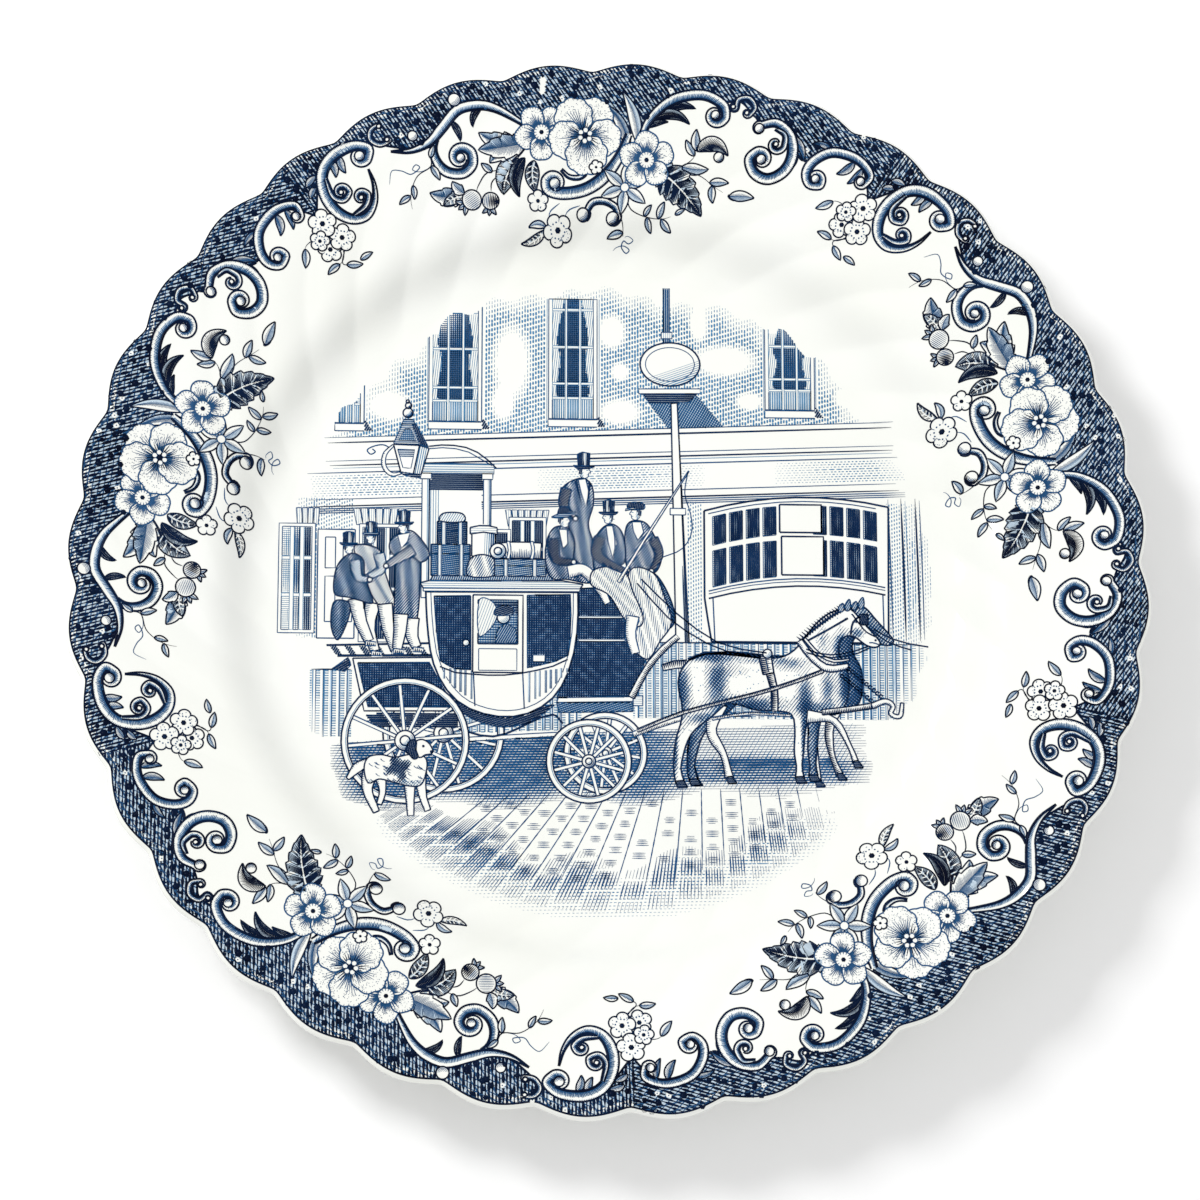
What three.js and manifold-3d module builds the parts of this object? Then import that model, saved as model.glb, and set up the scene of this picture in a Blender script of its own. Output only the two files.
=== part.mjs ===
// A china dinner plate: a fired earthenware body with a foot ring, a flat well, a rounded
// shoulder and a broad rim whose swirling flutes run out to a scalloped edge. One clear glaze
// coat wraps the face, the edge and the back, another lines the foot ring, and the bearing
// edge between them is left bare. The decoration is six transfer prints: a round scene in the
// well and five equal lengths of border laid end to end round the rim.
//
// Units are millimetres. +Z is up, the foot ring stands on z = 0, and the plate's axis is Z.

import * as THREE from "three";
import { mergeVertices } from "three/addons/utils/BufferGeometryUtils.js";
import Module from "manifold-3d";

const wasm = await Module();
wasm.setup();

// Driving dimensions.
const DIAMETER = 254; // over the glazed lobes of the rim
const RIM_HEIGHT = 23.4; // top of the body at the outer end of the rim's face
const LOBES = 36; // scallops round the edge, one flute running in from each
const SWIRL_DEGREES = 28; // turn of a flute between the well and the edge
const SCALLOP_DEPTH = 2.2; // from the top of a lobe to the notch beside it
const FLUTE_DEPTH = 0.6; // from a flute's crest to the crease beside it
const BORDER_LENGTHS = 5; // border prints round the rim
const FIRST_LENGTH_DEGREES = 92.5; // middle of the first border print, from +X
const WELL_RADIUS = 77; // flat floor of the well
const BEARING_RADIUS = 73.6; // middle of the foot ring's flat bearing edge
const BEARING_WIDTH = 2.4;
const SHOULDER_RADIUS = 95.5; // where the shoulder turns into the rim
const FLOOR_HEIGHT = 6.6; // top of the body in the well
const UNDERSIDE_HEIGHT = 2.4; // bottom of the body inside the foot ring
const WALL_THICKNESS = 3.7; // of the body, measured up and down at the rim
const GLAZE_THICKNESS = 0.25;
const PRINT_THICKNESS = 0.1;
const BOND_GAP = 0.05; // clearance kept between a coat or a print and what carries it

// Following dimensions.
const COAT = BOND_GAP + GLAZE_THICKNESS; // from the body to the outside of the glaze
const BODY_RADIUS = DIAMETER / 2 - COAT;
const RIM_FACE_RADIUS = BODY_RADIUS - 2.1; // where the rim's face rolls over into the edge
const SHOULDER_HEIGHT = FLOOR_HEIGHT + 8.6;
const BACK_HEIGHT = UNDERSIDE_HEIGHT + 0.6; // of the back where it meets the foot ring
const FOOT_INNER_RADIUS = BEARING_RADIUS - 3.4; // of the foot ring where it meets the underside
const VIGNETTE_RADIUS = WELL_RADIUS - 1.5; // of the print in the well
const COLUMNS = LOBES * 4; // four facets to each lobe

const glazeWhite = { color: 0xf8f4e6, roughness: 0.12, metalness: 0 };
const biscuitCream = { color: 0xe6dcc4, roughness: 0.85, metalness: 0 };
const inkBlue = { color: 0x1c2c50, roughness: 0.2, metalness: 0 };

/**
 * A point on the plate's profile: its distance from the axis and its height. Its station is the
 * radius that decides how far it is moulded, and is shared by all the layers over one point.
 */
class ProfilePoint extends THREE.Vector2 {
  constructor(radius, height, onFace, station = radius) {
    super(radius, height);
    this.onFace = onFace;
    this.station = station;
  }

  raised(direction, distance) {
    const radius = this.x + direction.x * distance;
    const height = this.y + direction.y * distance;
    return new ProfilePoint(radius, height, this.onFace, this.station);
  }
}

/** A bezier curve between four [radius, height] pairs, cut into a number of steps. */
function bezier(pairs, steps) {
  return new THREE.CubicBezierCurve(...pairs.map((pair) => new THREE.Vector2(...pair))).getPoints(steps);
}

/** The plate's face, from the centre of the well out to the rim's edge. */
function faceProfile() {
  const rimSlope = (RIM_HEIGHT - SHOULDER_HEIGHT) / (RIM_FACE_RADIUS - SHOULDER_RADIUS);
  const shoulder = bezier([
    [WELL_RADIUS, FLOOR_HEIGHT],
    [WELL_RADIUS + 10, FLOOR_HEIGHT],
    [SHOULDER_RADIUS - 8, SHOULDER_HEIGHT - 8 * rimSlope],
    [SHOULDER_RADIUS, SHOULDER_HEIGHT],
  ], 4);
  const rim = new THREE.LineCurve(shoulder.at(-1), new THREE.Vector2(RIM_FACE_RADIUS, RIM_HEIGHT));
  const points = [new THREE.Vector2(0, FLOOR_HEIGHT), ...shoulder, ...rim.getPoints(3).slice(1)];
  return points.map((p) => new ProfilePoint(p.x, p.y, true));
}

/** The roll of the edge and the back of the rim, from the face down to the foot ring. */
function backProfile() {
  const roll = [
    [BODY_RADIUS - 0.5, RIM_HEIGHT - 0.5],
    [BODY_RADIUS, RIM_HEIGHT - WALL_THICKNESS / 2],
    [BODY_RADIUS - 0.7, RIM_HEIGHT - WALL_THICKNESS + 0.6],
    [RIM_FACE_RADIUS - 0.2, RIM_HEIGHT - WALL_THICKNESS],
  ];
  const shoulder = bezier([
    [SHOULDER_RADIUS + 1.5, SHOULDER_HEIGHT - WALL_THICKNESS + 0.4],
    [SHOULDER_RADIUS - 6, SHOULDER_HEIGHT - WALL_THICKNESS - 1.7],
    [SHOULDER_RADIUS - 6, BACK_HEIGHT + 0.4],
    [WELL_RADIUS + 2, BACK_HEIGHT],
  ], 3);
  return [...roll, ...shoulder.map((p) => p.toArray())]
    .map(([radius, height]) => new ProfilePoint(radius, height, false));
}

/** The foot ring and the underside, from the ring's outside to the centre. */
function footProfile() {
  const chamfer = 0.5;
  const outer = BEARING_RADIUS + BEARING_WIDTH / 2;
  const inner = BEARING_RADIUS - BEARING_WIDTH / 2;
  return [
    [outer + 2.2, BACK_HEIGHT - 0.2],
    [outer + chamfer, chamfer],
    [outer, 0],
    [inner, 0],
    [inner - chamfer, chamfer],
    [FOOT_INNER_RADIUS, UNDERSIDE_HEIGHT],
    [0, UNDERSIDE_HEIGHT],
  ].map(([radius, height]) => new ProfilePoint(radius, height, false));
}

/** The same run of profile points moved out from the body by a distance along its normals. */
function raised(profile, distance) {
  return profile.map((p, i) => {
    const before = profile[Math.max(i - 1, 0)];
    const after = profile[Math.min(i + 1, profile.length - 1)];
    const along = new THREE.Vector2().subVectors(after, before).normalize();
    const out = p.x === 0 ? new THREE.Vector2(0, 1) : new THREE.Vector2(-along.y, along.x);
    return p.raised(out, distance);
  });
}

/** The closed outline of a skin over a run of profile, between two distances from the body. */
function skin(profile, from, to) {
  const outline = [...raised(profile, to), ...raised(profile, from).reverse()];
  const meetsAxis = profile[0].x === 0;
  return meetsAxis ? outline : [...outline, outline[0]];
}

/** How far up a lobe an angle lies: 0 in the notch between two lobes, 1 on top of one. */
function lobeShare(angle) {
  const softness = 0.12;
  const wave = Math.hypot(Math.sin((LOBES * angle) / 2), softness);
  return (wave - softness) / (Math.hypot(1, softness) - softness);
}

/** Splits each patch of a lathe along its shorter diagonal, so that stacked skins nest. */
function splitAlongShorterDiagonals(geometry) {
  const position = geometry.attributes.position;
  const corner = (i) => new THREE.Vector3().fromBufferAttribute(position, i);
  const order = geometry.index.array;
  for (let i = 0; i < order.length; i += 6) {
    const [a, b, d, c] = order.slice(i, i + 4);
    const otherIsShorter = corner(a).distanceTo(corner(c)) < corner(b).distanceTo(corner(d));
    if (otherIsShorter) order.set([a, b, c, c, d, a], i);
  }
}

/**
 * Turns a profile about Z and moulds it: the columns swirl between the well and the edge, the
 * rim draws in to the notches, and the face rises to the flutes' crests. The profiles here run
 * from the face round to the back; a lathe faces outwards when its profile runs the other way.
 */
function moulded(profile) {
  const points = profile.toReversed();
  const geometry = new THREE.LatheGeometry(points, COLUMNS).rotateX(Math.PI / 2);
  const position = geometry.attributes.position;
  for (let i = 0; i < position.count; i += 1) {
    const { station, onFace } = points[i % points.length];
    if (station <= WELL_RADIUS) continue;
    const radius = Math.hypot(position.getX(i), position.getY(i));
    const angle = Math.atan2(position.getY(i), position.getX(i));
    const lobe = lobeShare(angle);
    const outwards = Math.min((station - WELL_RADIUS) / (RIM_FACE_RADIUS - WELL_RADIUS), 1);
    const drawnIn = radius - SCALLOP_DEPTH * outwards ** 3 * (1 - lobe);
    const swirled = angle - THREE.MathUtils.degToRad(SWIRL_DEGREES) * outwards;
    const crest = onFace ? FLUTE_DEPTH * Math.sin(Math.PI * outwards ** 0.7) : 0;
    position.setX(i, drawnIn * Math.cos(swirled));
    position.setY(i, drawnIn * Math.sin(swirled));
    position.setZ(i, position.getZ(i) + crest * lobe);
  }
  splitAlongShorterDiagonals(geometry);
  return geometry;
}

/** A closed geometry as a manifold-3d solid. */
function toSolid(geometry) {
  const bare = geometry.clone();
  bare.deleteAttribute("normal");
  bare.deleteAttribute("uv");
  const welded = mergeVertices(bare, 1e-4);
  const corners = welded.index.array;
  const triangles = [];
  for (let i = 0; i < corners.length; i += 3) {
    const [a, b, c] = corners.slice(i, i + 3);
    if (a !== b && b !== c && c !== a) triangles.push(a, b, c);
  }
  return new wasm.Manifold(new wasm.Mesh({
    numProp: 3,
    vertProperties: new Float32Array(welded.attributes.position.array),
    triVerts: new Uint32Array(triangles),
  }));
}

/** A manifold-3d solid as a geometry. */
function toGeometry(solid) {
  const mesh = solid.getMesh();
  const geometry = new THREE.BufferGeometry();
  geometry.setAttribute("position", new THREE.BufferAttribute(mesh.vertProperties, 3));
  geometry.setIndex(new THREE.BufferAttribute(mesh.triVerts, 1));
  geometry.computeVertexNormals();
  return geometry;
}

/**
 * The upright cutter for one length of border: a sector whose inner edge dips towards the well
 * at the middle of the length, where the hanging spray is.
 */
function borderCutter(middleDegrees) {
  const halfLength = THREE.MathUtils.degToRad(180 / BORDER_LENGTHS - 0.12);
  const innerRadius = WELL_RADIUS + 13;
  const sprayDrop = 6.5;
  const outline = new THREE.Shape();
  const steps = 12;
  for (let i = 0; i <= steps; i += 1) {
    const share = (2 * i) / steps - 1;
    const radius = innerRadius - sprayDrop * Math.cos((share * Math.PI) / 2) ** 2;
    const corner = [radius * Math.cos(share * halfLength), radius * Math.sin(share * halfLength)];
    if (i === 0) outline.moveTo(...corner);
    else outline.lineTo(...corner);
  }
  outline.lineTo(DIAMETER * Math.cos(halfLength), DIAMETER * Math.sin(halfLength));
  outline.lineTo(DIAMETER * Math.cos(halfLength), -DIAMETER * Math.sin(halfLength));
  return new THREE.ExtrudeGeometry(outline, { depth: 2 * RIM_HEIGHT, bevelEnabled: false })
    .rotateZ(THREE.MathUtils.degToRad(middleDegrees));
}

/** One named piece of the plate. */
function piece(name, geometry, look) {
  const mesh = new THREE.Mesh(geometry, new THREE.MeshStandardMaterial(look));
  mesh.name = name;
  return mesh;
}

const face = faceProfile();
const outside = [...face, ...backProfile()];
const plate = new THREE.Group();

// The fired body, from the centre of its face round the edge and the foot to its underside.
plate.add(piece("biscuit_body", moulded([...outside, ...footProfile()]), biscuitCream));

// The glaze over the face, the edge and the back, which stops at the foot ring.
plate.add(piece("glaze_coat", moulded(skin(outside, BOND_GAP, COAT)), glazeWhite));

// The glaze inside the foot ring, clear of the ring's own slope.
const footWellRadius = FOOT_INNER_RADIUS - 0.6;
const footWell = new THREE.CylinderGeometry(footWellRadius, footWellRadius, GLAZE_THICKNESS, COLUMNS)
  .rotateX(Math.PI / 2)
  .translate(0, 0, UNDERSIDE_HEIGHT - BOND_GAP - GLAZE_THICKNESS / 2);
plate.add(piece("glaze_foot_well", footWell, glazeWhite));

// The round scene in the well.
const vignette = new THREE.CylinderGeometry(VIGNETTE_RADIUS, VIGNETTE_RADIUS, PRINT_THICKNESS, 72)
  .rotateX(Math.PI / 2)
  .translate(0, 0, FLOOR_HEIGHT + COAT + BOND_GAP + PRINT_THICKNESS / 2);
plate.add(piece("centre_print", vignette, inkBlue));

// The border, a film over the shoulder and the rim cut into equal lengths.
const film = skin(face.slice(2), COAT + BOND_GAP, COAT + BOND_GAP + PRINT_THICKNESS);
const borderFilm = toSolid(moulded(film));
for (let i = 0; i < BORDER_LENGTHS; i += 1) {
  const middleDegrees = FIRST_LENGTH_DEGREES - (360 / BORDER_LENGTHS) * i;
  const length = borderFilm.intersect(toSolid(borderCutter(middleDegrees)));
  plate.add(piece(`border_print_${i + 1}`, toGeometry(length), inkBlue));
}

export default plate;
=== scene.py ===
"""A china dinner plate: turned clay body, glaze coats, and blue prints engraved as fine relief."""

import math

import bmesh
import bpy
import numpy as np
from mathutils import Matrix, Vector


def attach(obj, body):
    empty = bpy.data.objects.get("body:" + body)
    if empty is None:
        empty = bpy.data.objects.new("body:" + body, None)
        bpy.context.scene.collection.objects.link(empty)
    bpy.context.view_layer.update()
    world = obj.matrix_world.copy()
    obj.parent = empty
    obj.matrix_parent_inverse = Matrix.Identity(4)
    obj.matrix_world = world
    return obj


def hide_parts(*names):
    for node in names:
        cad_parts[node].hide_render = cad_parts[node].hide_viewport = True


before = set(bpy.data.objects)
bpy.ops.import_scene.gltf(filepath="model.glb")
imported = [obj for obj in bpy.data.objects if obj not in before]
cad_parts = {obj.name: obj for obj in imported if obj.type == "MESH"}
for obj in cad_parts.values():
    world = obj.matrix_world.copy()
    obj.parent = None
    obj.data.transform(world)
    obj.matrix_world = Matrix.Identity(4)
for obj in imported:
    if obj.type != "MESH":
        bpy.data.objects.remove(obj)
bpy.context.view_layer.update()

MM = 0.001

# The plate's dimensions in millimetres, the same as in the CAD model.
RADIUS = 127.0
RIM_HEIGHT = 23.4
LOBES = 36
SWIRL = math.radians(28)
SCALLOP_DEPTH = 2.2
FLUTE_DEPTH = 0.6
BORDER_LENGTHS = 5
FIRST_LENGTH = math.radians(92.5)
WELL_RADIUS = 77.0
BEARING_RADIUS = 73.6
BEARING_WIDTH = 2.4
SHOULDER_RADIUS = 95.5
FLOOR_HEIGHT = 6.6
UNDERSIDE_HEIGHT = 2.4
WALL = 3.7
BOND_GAP = 0.05
COAT = 0.3
BODY_RADIUS = RADIUS - COAT
RIM_FACE_RADIUS = BODY_RADIUS - 2.1
SHOULDER_HEIGHT = FLOOR_HEIGHT + 8.6
BACK_HEIGHT = UNDERSIDE_HEIGHT + 0.6
FOOT_INNER_RADIUS = BEARING_RADIUS - 3.4

# How finely the surfaces are cut. The columns round the plate are a multiple of its lobes, so
# that each crease between two flutes lies along one of them.
COLUMNS = 16 * LOBES
FOOT_WELL_COLUMNS = 4 * LOBES
FACE_STEP = 1.2
EDGE_STEPS, BACK_STEPS, FOOT_STEPS = 14, 12, 8


# ---------------------------------------------------------------- camera, lights and floor


def place_camera():
    """The photograph's view: almost from overhead, leaning from the near side, a little rolled."""
    lean, azimuth = math.radians(13.26), math.radians(-10.6)
    distance, frame_width = 975.5 * MM, 279.4 * MM
    aside, below = 2.5 * MM, 5.8 * MM
    level = math.sin(lean)
    back = Vector((math.sin(azimuth) * level, -math.cos(azimuth) * level, math.cos(lean)))
    right = Vector((0, 1, 0)).cross(back).normalized()
    up = back.cross(right)
    place = Vector((0, 0, RIM_HEIGHT * MM)) + back * distance - right * aside - up * below
    data = bpy.data.cameras.new("camera")
    data.sensor_width = 36
    data.lens = data.sensor_width * distance / frame_width
    camera = bpy.data.objects.new("camera", data)
    camera.matrix_world = Matrix.Translation(place) @ Matrix((right, up, back)).transposed().to_4x4()
    bpy.context.scene.collection.objects.link(camera)
    bpy.context.scene.camera = camera


def area_light(name, position, size, power, target=(0, 0, 0)):
    """A square soft light that looks at a target."""
    data = bpy.data.lights.new(name, "AREA")
    data.shape = "SQUARE"
    data.size = size
    data.energy = power
    light = bpy.data.objects.new(name, data)
    light.location = position
    light.rotation_euler = (Vector(position) - Vector(target)).to_track_quat("Z", "Y").to_euler()
    bpy.context.scene.collection.objects.link(light)


def node_material(name):
    """A new material with its node tree and its Principled shader."""
    material = bpy.data.materials.new(name)
    material.use_nodes = True
    return material, material.node_tree, material.node_tree.nodes["Principled BSDF"]


def place_floor():
    """A plain pale floor under the foot ring."""
    half = 3.0
    corners = [(-half, -half, 0), (half, -half, 0), (half, half, 0), (-half, half, 0)]
    mesh = bpy.data.meshes.new("floor")
    mesh.from_pydata(corners, [], [(0, 1, 2, 3)])
    floor = bpy.data.objects.new("floor", mesh)
    bpy.context.scene.collection.objects.link(floor)
    material, _, shader = node_material("floor")
    shader.inputs["Base Color"].default_value = (0.93, 0.93, 0.93, 1)
    shader.inputs["Roughness"].default_value = 0.9
    mesh.materials.append(material)


def light_the_scene():
    """A key light from the upper left for the shadow at the lower right, and an even fill."""
    area_light("key", (-0.75, 0.55, 0.95), 0.3, 8.5)
    area_light("fill", (0.7, -0.5, 1.3), 1.6, 3.0)
    world = bpy.data.worlds.new("studio")
    world.use_nodes = True
    world.node_tree.nodes["Background"].inputs["Color"].default_value = (1, 1, 1, 1)
    world.node_tree.nodes["Background"].inputs["Strength"].default_value = 0.75
    bpy.context.scene.world = world
    bpy.context.scene.view_settings.view_transform = "Standard"


place_camera()
light_the_scene()
place_floor()


# ---------------------------------------------------------------- the plate's shape


def bezier(corners, steps):
    """Points on a cubic bezier curve between four (radius, height) corners."""
    t = np.linspace(0, 1, steps + 1)[:, None]
    a, b, c, d = (np.array(p, float) for p in corners)
    return a * (1 - t) ** 3 + 3 * b * t * (1 - t) ** 2 + 3 * c * t**2 * (1 - t) + d * t**3


def face_profile(step):
    """The face from the centre outwards, with few rings in its flat well, as (radius, height) rows."""
    slope = (RIM_HEIGHT - SHOULDER_HEIGHT) / (RIM_FACE_RADIUS - SHOULDER_RADIUS)
    shoulder = bezier([
        (WELL_RADIUS, FLOOR_HEIGHT),
        (WELL_RADIUS + 10, FLOOR_HEIGHT),
        (SHOULDER_RADIUS - 8, SHOULDER_HEIGHT - 8 * slope),
        (SHOULDER_RADIUS, SHOULDER_HEIGHT),
    ], 40)
    turns = np.vstack([(0, FLOOR_HEIGHT), shoulder, (RIM_FACE_RADIUS, RIM_HEIGHT)])
    well = np.linspace(0, WELL_RADIUS, 6)[:-1]
    radius = np.r_[well, np.arange(WELL_RADIUS, RIM_FACE_RADIUS, step), RIM_FACE_RADIUS]
    return np.column_stack([radius, np.interp(radius, *turns.T)])


def edge_profile(steps):
    """The roll of the edge, from the end of the face to the start of the back."""
    corners = [
        (RIM_FACE_RADIUS, RIM_HEIGHT),
        (BODY_RADIUS + 0.7, RIM_HEIGHT + 0.2),
        (BODY_RADIUS + 0.7, RIM_HEIGHT - WALL - 0.2),
        (RIM_FACE_RADIUS - 0.2, RIM_HEIGHT - WALL),
    ]
    return bezier(corners, steps)[1:]


def back_profile(steps):
    """The back of the rim, from the edge in to the foot ring."""
    shoulder = bezier([
        (SHOULDER_RADIUS + 1.5, SHOULDER_HEIGHT - WALL + 0.4),
        (SHOULDER_RADIUS - 6, SHOULDER_HEIGHT - WALL - 1.7),
        (SHOULDER_RADIUS - 6, BACK_HEIGHT + 0.4),
        (WELL_RADIUS + 2, BACK_HEIGHT),
    ], steps)
    start, end = np.array((RIM_FACE_RADIUS - 0.2, RIM_HEIGHT - WALL)), shoulder[0]
    share = np.linspace(0, 1, steps + 1)[1:-1, None]
    return np.vstack([start + (end - start) * share, shoulder])


def foot_profile(steps):
    """The foot ring and the underside, from the ring's outside to the centre."""
    outer, inner = BEARING_RADIUS + BEARING_WIDTH / 2, BEARING_RADIUS - BEARING_WIDTH / 2
    outside = bezier([
        (outer + 2.2, BACK_HEIGHT - 0.2),
        (outer + 1, BACK_HEIGHT - 0.5),
        (outer + 0.6, 0),
        (outer, 0),
    ], steps)
    inside = bezier([
        (inner, 0),
        (inner - 0.6, 0),
        (inner - 1, UNDERSIDE_HEIGHT),
        (FOOT_INNER_RADIUS, UNDERSIDE_HEIGHT),
    ], steps)
    underside = [(FOOT_INNER_RADIUS * 0.5, UNDERSIDE_HEIGHT), (0, UNDERSIDE_HEIGHT)]
    return np.vstack([outside, inside, underside])


def raised(profile, distance):
    """A profile moved out from the body along its normals."""
    along = np.gradient(profile, axis=0)
    along /= np.linalg.norm(along, axis=1, keepdims=True)
    out = np.column_stack([-along[:, 1], along[:, 0]])
    out[profile[:, 0] == 0] = (0, 1)
    return profile + distance * out


def outwards(station):
    """How far out on the rim a radius lies: 0 at the well, 1 where the face meets the edge."""
    return np.clip((station - WELL_RADIUS) / (RIM_FACE_RADIUS - WELL_RADIUS), 0, 1)


def lobe_share(angle):
    """How far up a lobe an angle lies: 0 in a notch, 1 on a crest."""
    softness = 0.12
    wave = np.hypot(np.sin(LOBES * angle / 2), softness)
    return (wave - softness) / (math.hypot(1, softness) - softness)


def crest(out):
    """The height of a flute's crest over its crease."""
    return FLUTE_DEPTH * np.sin(np.pi * out**0.7)


def turned(profile, station, on_face, columns):
    """A profile turned about Z and moulded: vertices in millimetres, ring by ring."""
    out = outwards(station)[:, None]
    angle = np.arange(columns) * 2 * np.pi / columns
    lobe = lobe_share(angle)[None, :]
    radius = profile[:, :1] - SCALLOP_DEPTH * out**3 * (1 - lobe)
    height = profile[:, 1:] + np.where(on_face[:, None], crest(out), 0) * lobe
    swirled = angle[None, :] - SWIRL * out
    return np.stack([radius * np.cos(swirled), radius * np.sin(swirled), height], -1)


def quad_mesh(name, vertices, quads, material):
    """An object from millimetre vertices and an (n, 4) array of corners."""
    mesh = bpy.data.meshes.new(name)
    mesh.vertices.add(len(vertices))
    mesh.vertices.foreach_set("co", (vertices * MM).astype(np.float32).ravel())
    mesh.loops.add(quads.size)
    mesh.loops.foreach_set("vertex_index", quads.astype(np.int32).ravel())
    mesh.polygons.add(len(quads))
    mesh.polygons.foreach_set("loop_start", np.arange(0, quads.size, 4, dtype=np.int32))
    mesh.polygons.foreach_set("use_smooth", np.ones(len(quads), bool))
    mesh.update(calc_edges=True)
    mesh.validate()
    mesh.materials.append(material)
    piece = bpy.data.objects.new(name, mesh)
    bpy.context.scene.collection.objects.link(piece)
    return piece


def revolved(name, profile, station, on_face, columns, material):
    """A turned piece, whose profile runs from the axis back to the axis."""
    rings = turned(profile, station, on_face, columns)
    ring = np.arange(len(rings) - 1)[:, None] * columns
    column = np.arange(columns)[None, :]
    following = (column + 1) % columns
    after = ring + columns
    quads = np.stack([ring + column, after + column, after + following, ring + following], -1)
    piece = quad_mesh(name, rings.reshape(-1, 3), quads.reshape(-1, 4), material)
    solid = bmesh.new()
    solid.from_mesh(piece.data)
    bmesh.ops.remove_doubles(solid, verts=solid.verts, dist=0.001 * MM)
    bmesh.ops.recalc_face_normals(solid, faces=solid.faces)
    solid.to_mesh(piece.data)
    solid.free()
    return piece


face = face_profile(FACE_STEP)
outside = np.vstack([face, edge_profile(EDGE_STEPS), back_profile(BACK_STEPS)])
on_face = np.arange(len(outside)) < len(face)

# The outside of the glaze over the face and the top of the edge, along which the prints lie.
glazed = raised(outside, COAT)
widest = np.argmax(glazed[:, 0]) + 1
glaze_top, glaze_top_station = glazed[:widest], outside[:widest, 0]


def surface_height(points):
    """The height of the glazed face over points x + iy, in millimetres."""
    radius, angle = np.abs(points), np.angle(points)
    drawn_in = np.zeros(len(points))
    # A point's place before the scallops drew it in, closer with each turn.
    for _ in range(4):
        out = outwards(np.interp(radius + drawn_in, glaze_top[:, 0], glaze_top_station))
        lobe = lobe_share(angle + SWIRL * out)
        drawn_in = SCALLOP_DEPTH * out**3 * (1 - lobe)
    return np.interp(radius + drawn_in, *glaze_top.T) + crest(out) * lobe


# ---------------------------------------------------------------- the body and the glaze


def object_noise(tree, scale, detail):
    """Noise from 0 to 1 that is fixed to the object."""
    noise = tree.nodes.new("ShaderNodeTexNoise")
    noise.inputs["Scale"].default_value = scale
    noise.inputs["Detail"].default_value = detail
    where = tree.nodes.new("ShaderNodeTexCoord")
    tree.links.new(where.outputs["Object"], noise.inputs["Vector"])
    return noise.outputs["Fac"]


def wandering_colour(tree, shader, factor, low, high):
    """A base colour that a factor moves between two stops, each a position and a colour."""
    ramp = tree.nodes.new("ShaderNodeValToRGB")
    for element, (position, colour) in zip(ramp.color_ramp.elements, (low, high)):
        element.position = position
        element.color = (*colour, 1)
    tree.links.new(factor, ramp.inputs["Fac"])
    tree.links.new(ramp.outputs["Color"], shader.inputs["Base Color"])


def glaze_material():
    """Clear gloss glaze over a warm cream body, with faint mottling and orange peel."""
    material, tree, shader = node_material("glaze")
    mottle = object_noise(tree, 28, 4)
    wandering_colour(tree, shader, mottle, (0.3, (0.85, 0.86, 0.805)), (0.7, (0.88, 0.89, 0.855)))
    peel = tree.nodes.new("ShaderNodeBump")
    peel.inputs["Strength"].default_value = 0.05
    peel.inputs["Distance"].default_value = 0.2 * MM
    tree.links.new(object_noise(tree, 160, 3), peel.inputs["Height"])
    tree.links.new(peel.outputs["Normal"], shader.inputs["Normal"])
    shader.inputs["Roughness"].default_value = 0.1
    shader.inputs["IOR"].default_value = 1.52
    return material


def biscuit_material():
    """Bare fired clay, slightly grainy."""
    material, tree, shader = node_material("biscuit")
    grain = object_noise(tree, 400, 6)
    wandering_colour(tree, shader, grain, (0, (0.55, 0.47, 0.35)), (1, (0.82, 0.76, 0.64)))
    shader.inputs["Roughness"].default_value = 0.85
    return material


def glaze_coat(glaze):
    """The glaze over the face, the edge and the back: a thin shell round the body."""
    profile = np.vstack([raised(outside, COAT), raised(outside, BOND_GAP)[::-1]])
    station = np.r_[outside[:, 0], outside[::-1, 0]]
    coat_face = np.r_[on_face, on_face[::-1]]
    coat = revolved("glaze_coat_surface", profile, station, coat_face, COLUMNS, glaze)
    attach(coat, "root")
    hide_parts("glaze_coat")


def glaze_foot_well(glaze):
    """The disc of glaze inside the foot ring."""
    radius, bevel = FOOT_INNER_RADIUS - 0.6, 0.1
    top, bottom = UNDERSIDE_HEIGHT - BOND_GAP, UNDERSIDE_HEIGHT - COAT
    profile = np.array([
        (0, top),
        (radius - bevel, top),
        (radius, top - bevel),
        (radius - bevel, bottom),
        (0, bottom),
    ])
    no_face = np.zeros(len(profile), bool)
    foot_well = revolved(
        "glaze_foot_well_surface", profile, profile[:, 0], no_face, FOOT_WELL_COLUMNS, glaze
    )
    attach(foot_well, "root")
    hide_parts("glaze_foot_well")


def biscuit_body():
    """The clay body, of which only the bearing edge of the foot shows."""
    profile = np.vstack([outside, foot_profile(FOOT_STEPS)])
    body_face = np.arange(len(profile)) < len(face)
    body = revolved(
        "biscuit_body_surface", profile, profile[:, 0], body_face, COLUMNS, biscuit_material()
    )
    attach(body, "root")
    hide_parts("biscuit_body")


glazing = glaze_material()
glaze_coat(glazing)
glaze_foot_well(glazing)
biscuit_body()


# ---------------------------------------------------------------- engraving
# Points of a drawing are complex numbers, x + iy, in millimetres as seen from above.

# The ink: the height of its underside over the glaze, its thinnest line, the width of line and
# the radius of dot from which on it prints darkest, and the strength and pitch of a pale wash.
INK_BOTTOM = 0.015
HAIRLINE = 0.05
FULL_INK_WIDTH = 0.4
FULL_INK_RADIUS = 0.35
WASH_STRENGTH = 0.1
WASH_PITCH = 0.5

# How finely drawings are worked out: the grid of what covers what, the steps at which strokes
# are looked up in it, and the bend in degrees, the corner in radians and the change of width
# that call for a new section of a stroke.
PIXEL = 0.1
SAMPLE_STEP = 0.15
BEND_STEP = 9
CORNER_TURN = 0.35
WIDTH_STEP = 0.15
DOT_SIDES = 6


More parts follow.
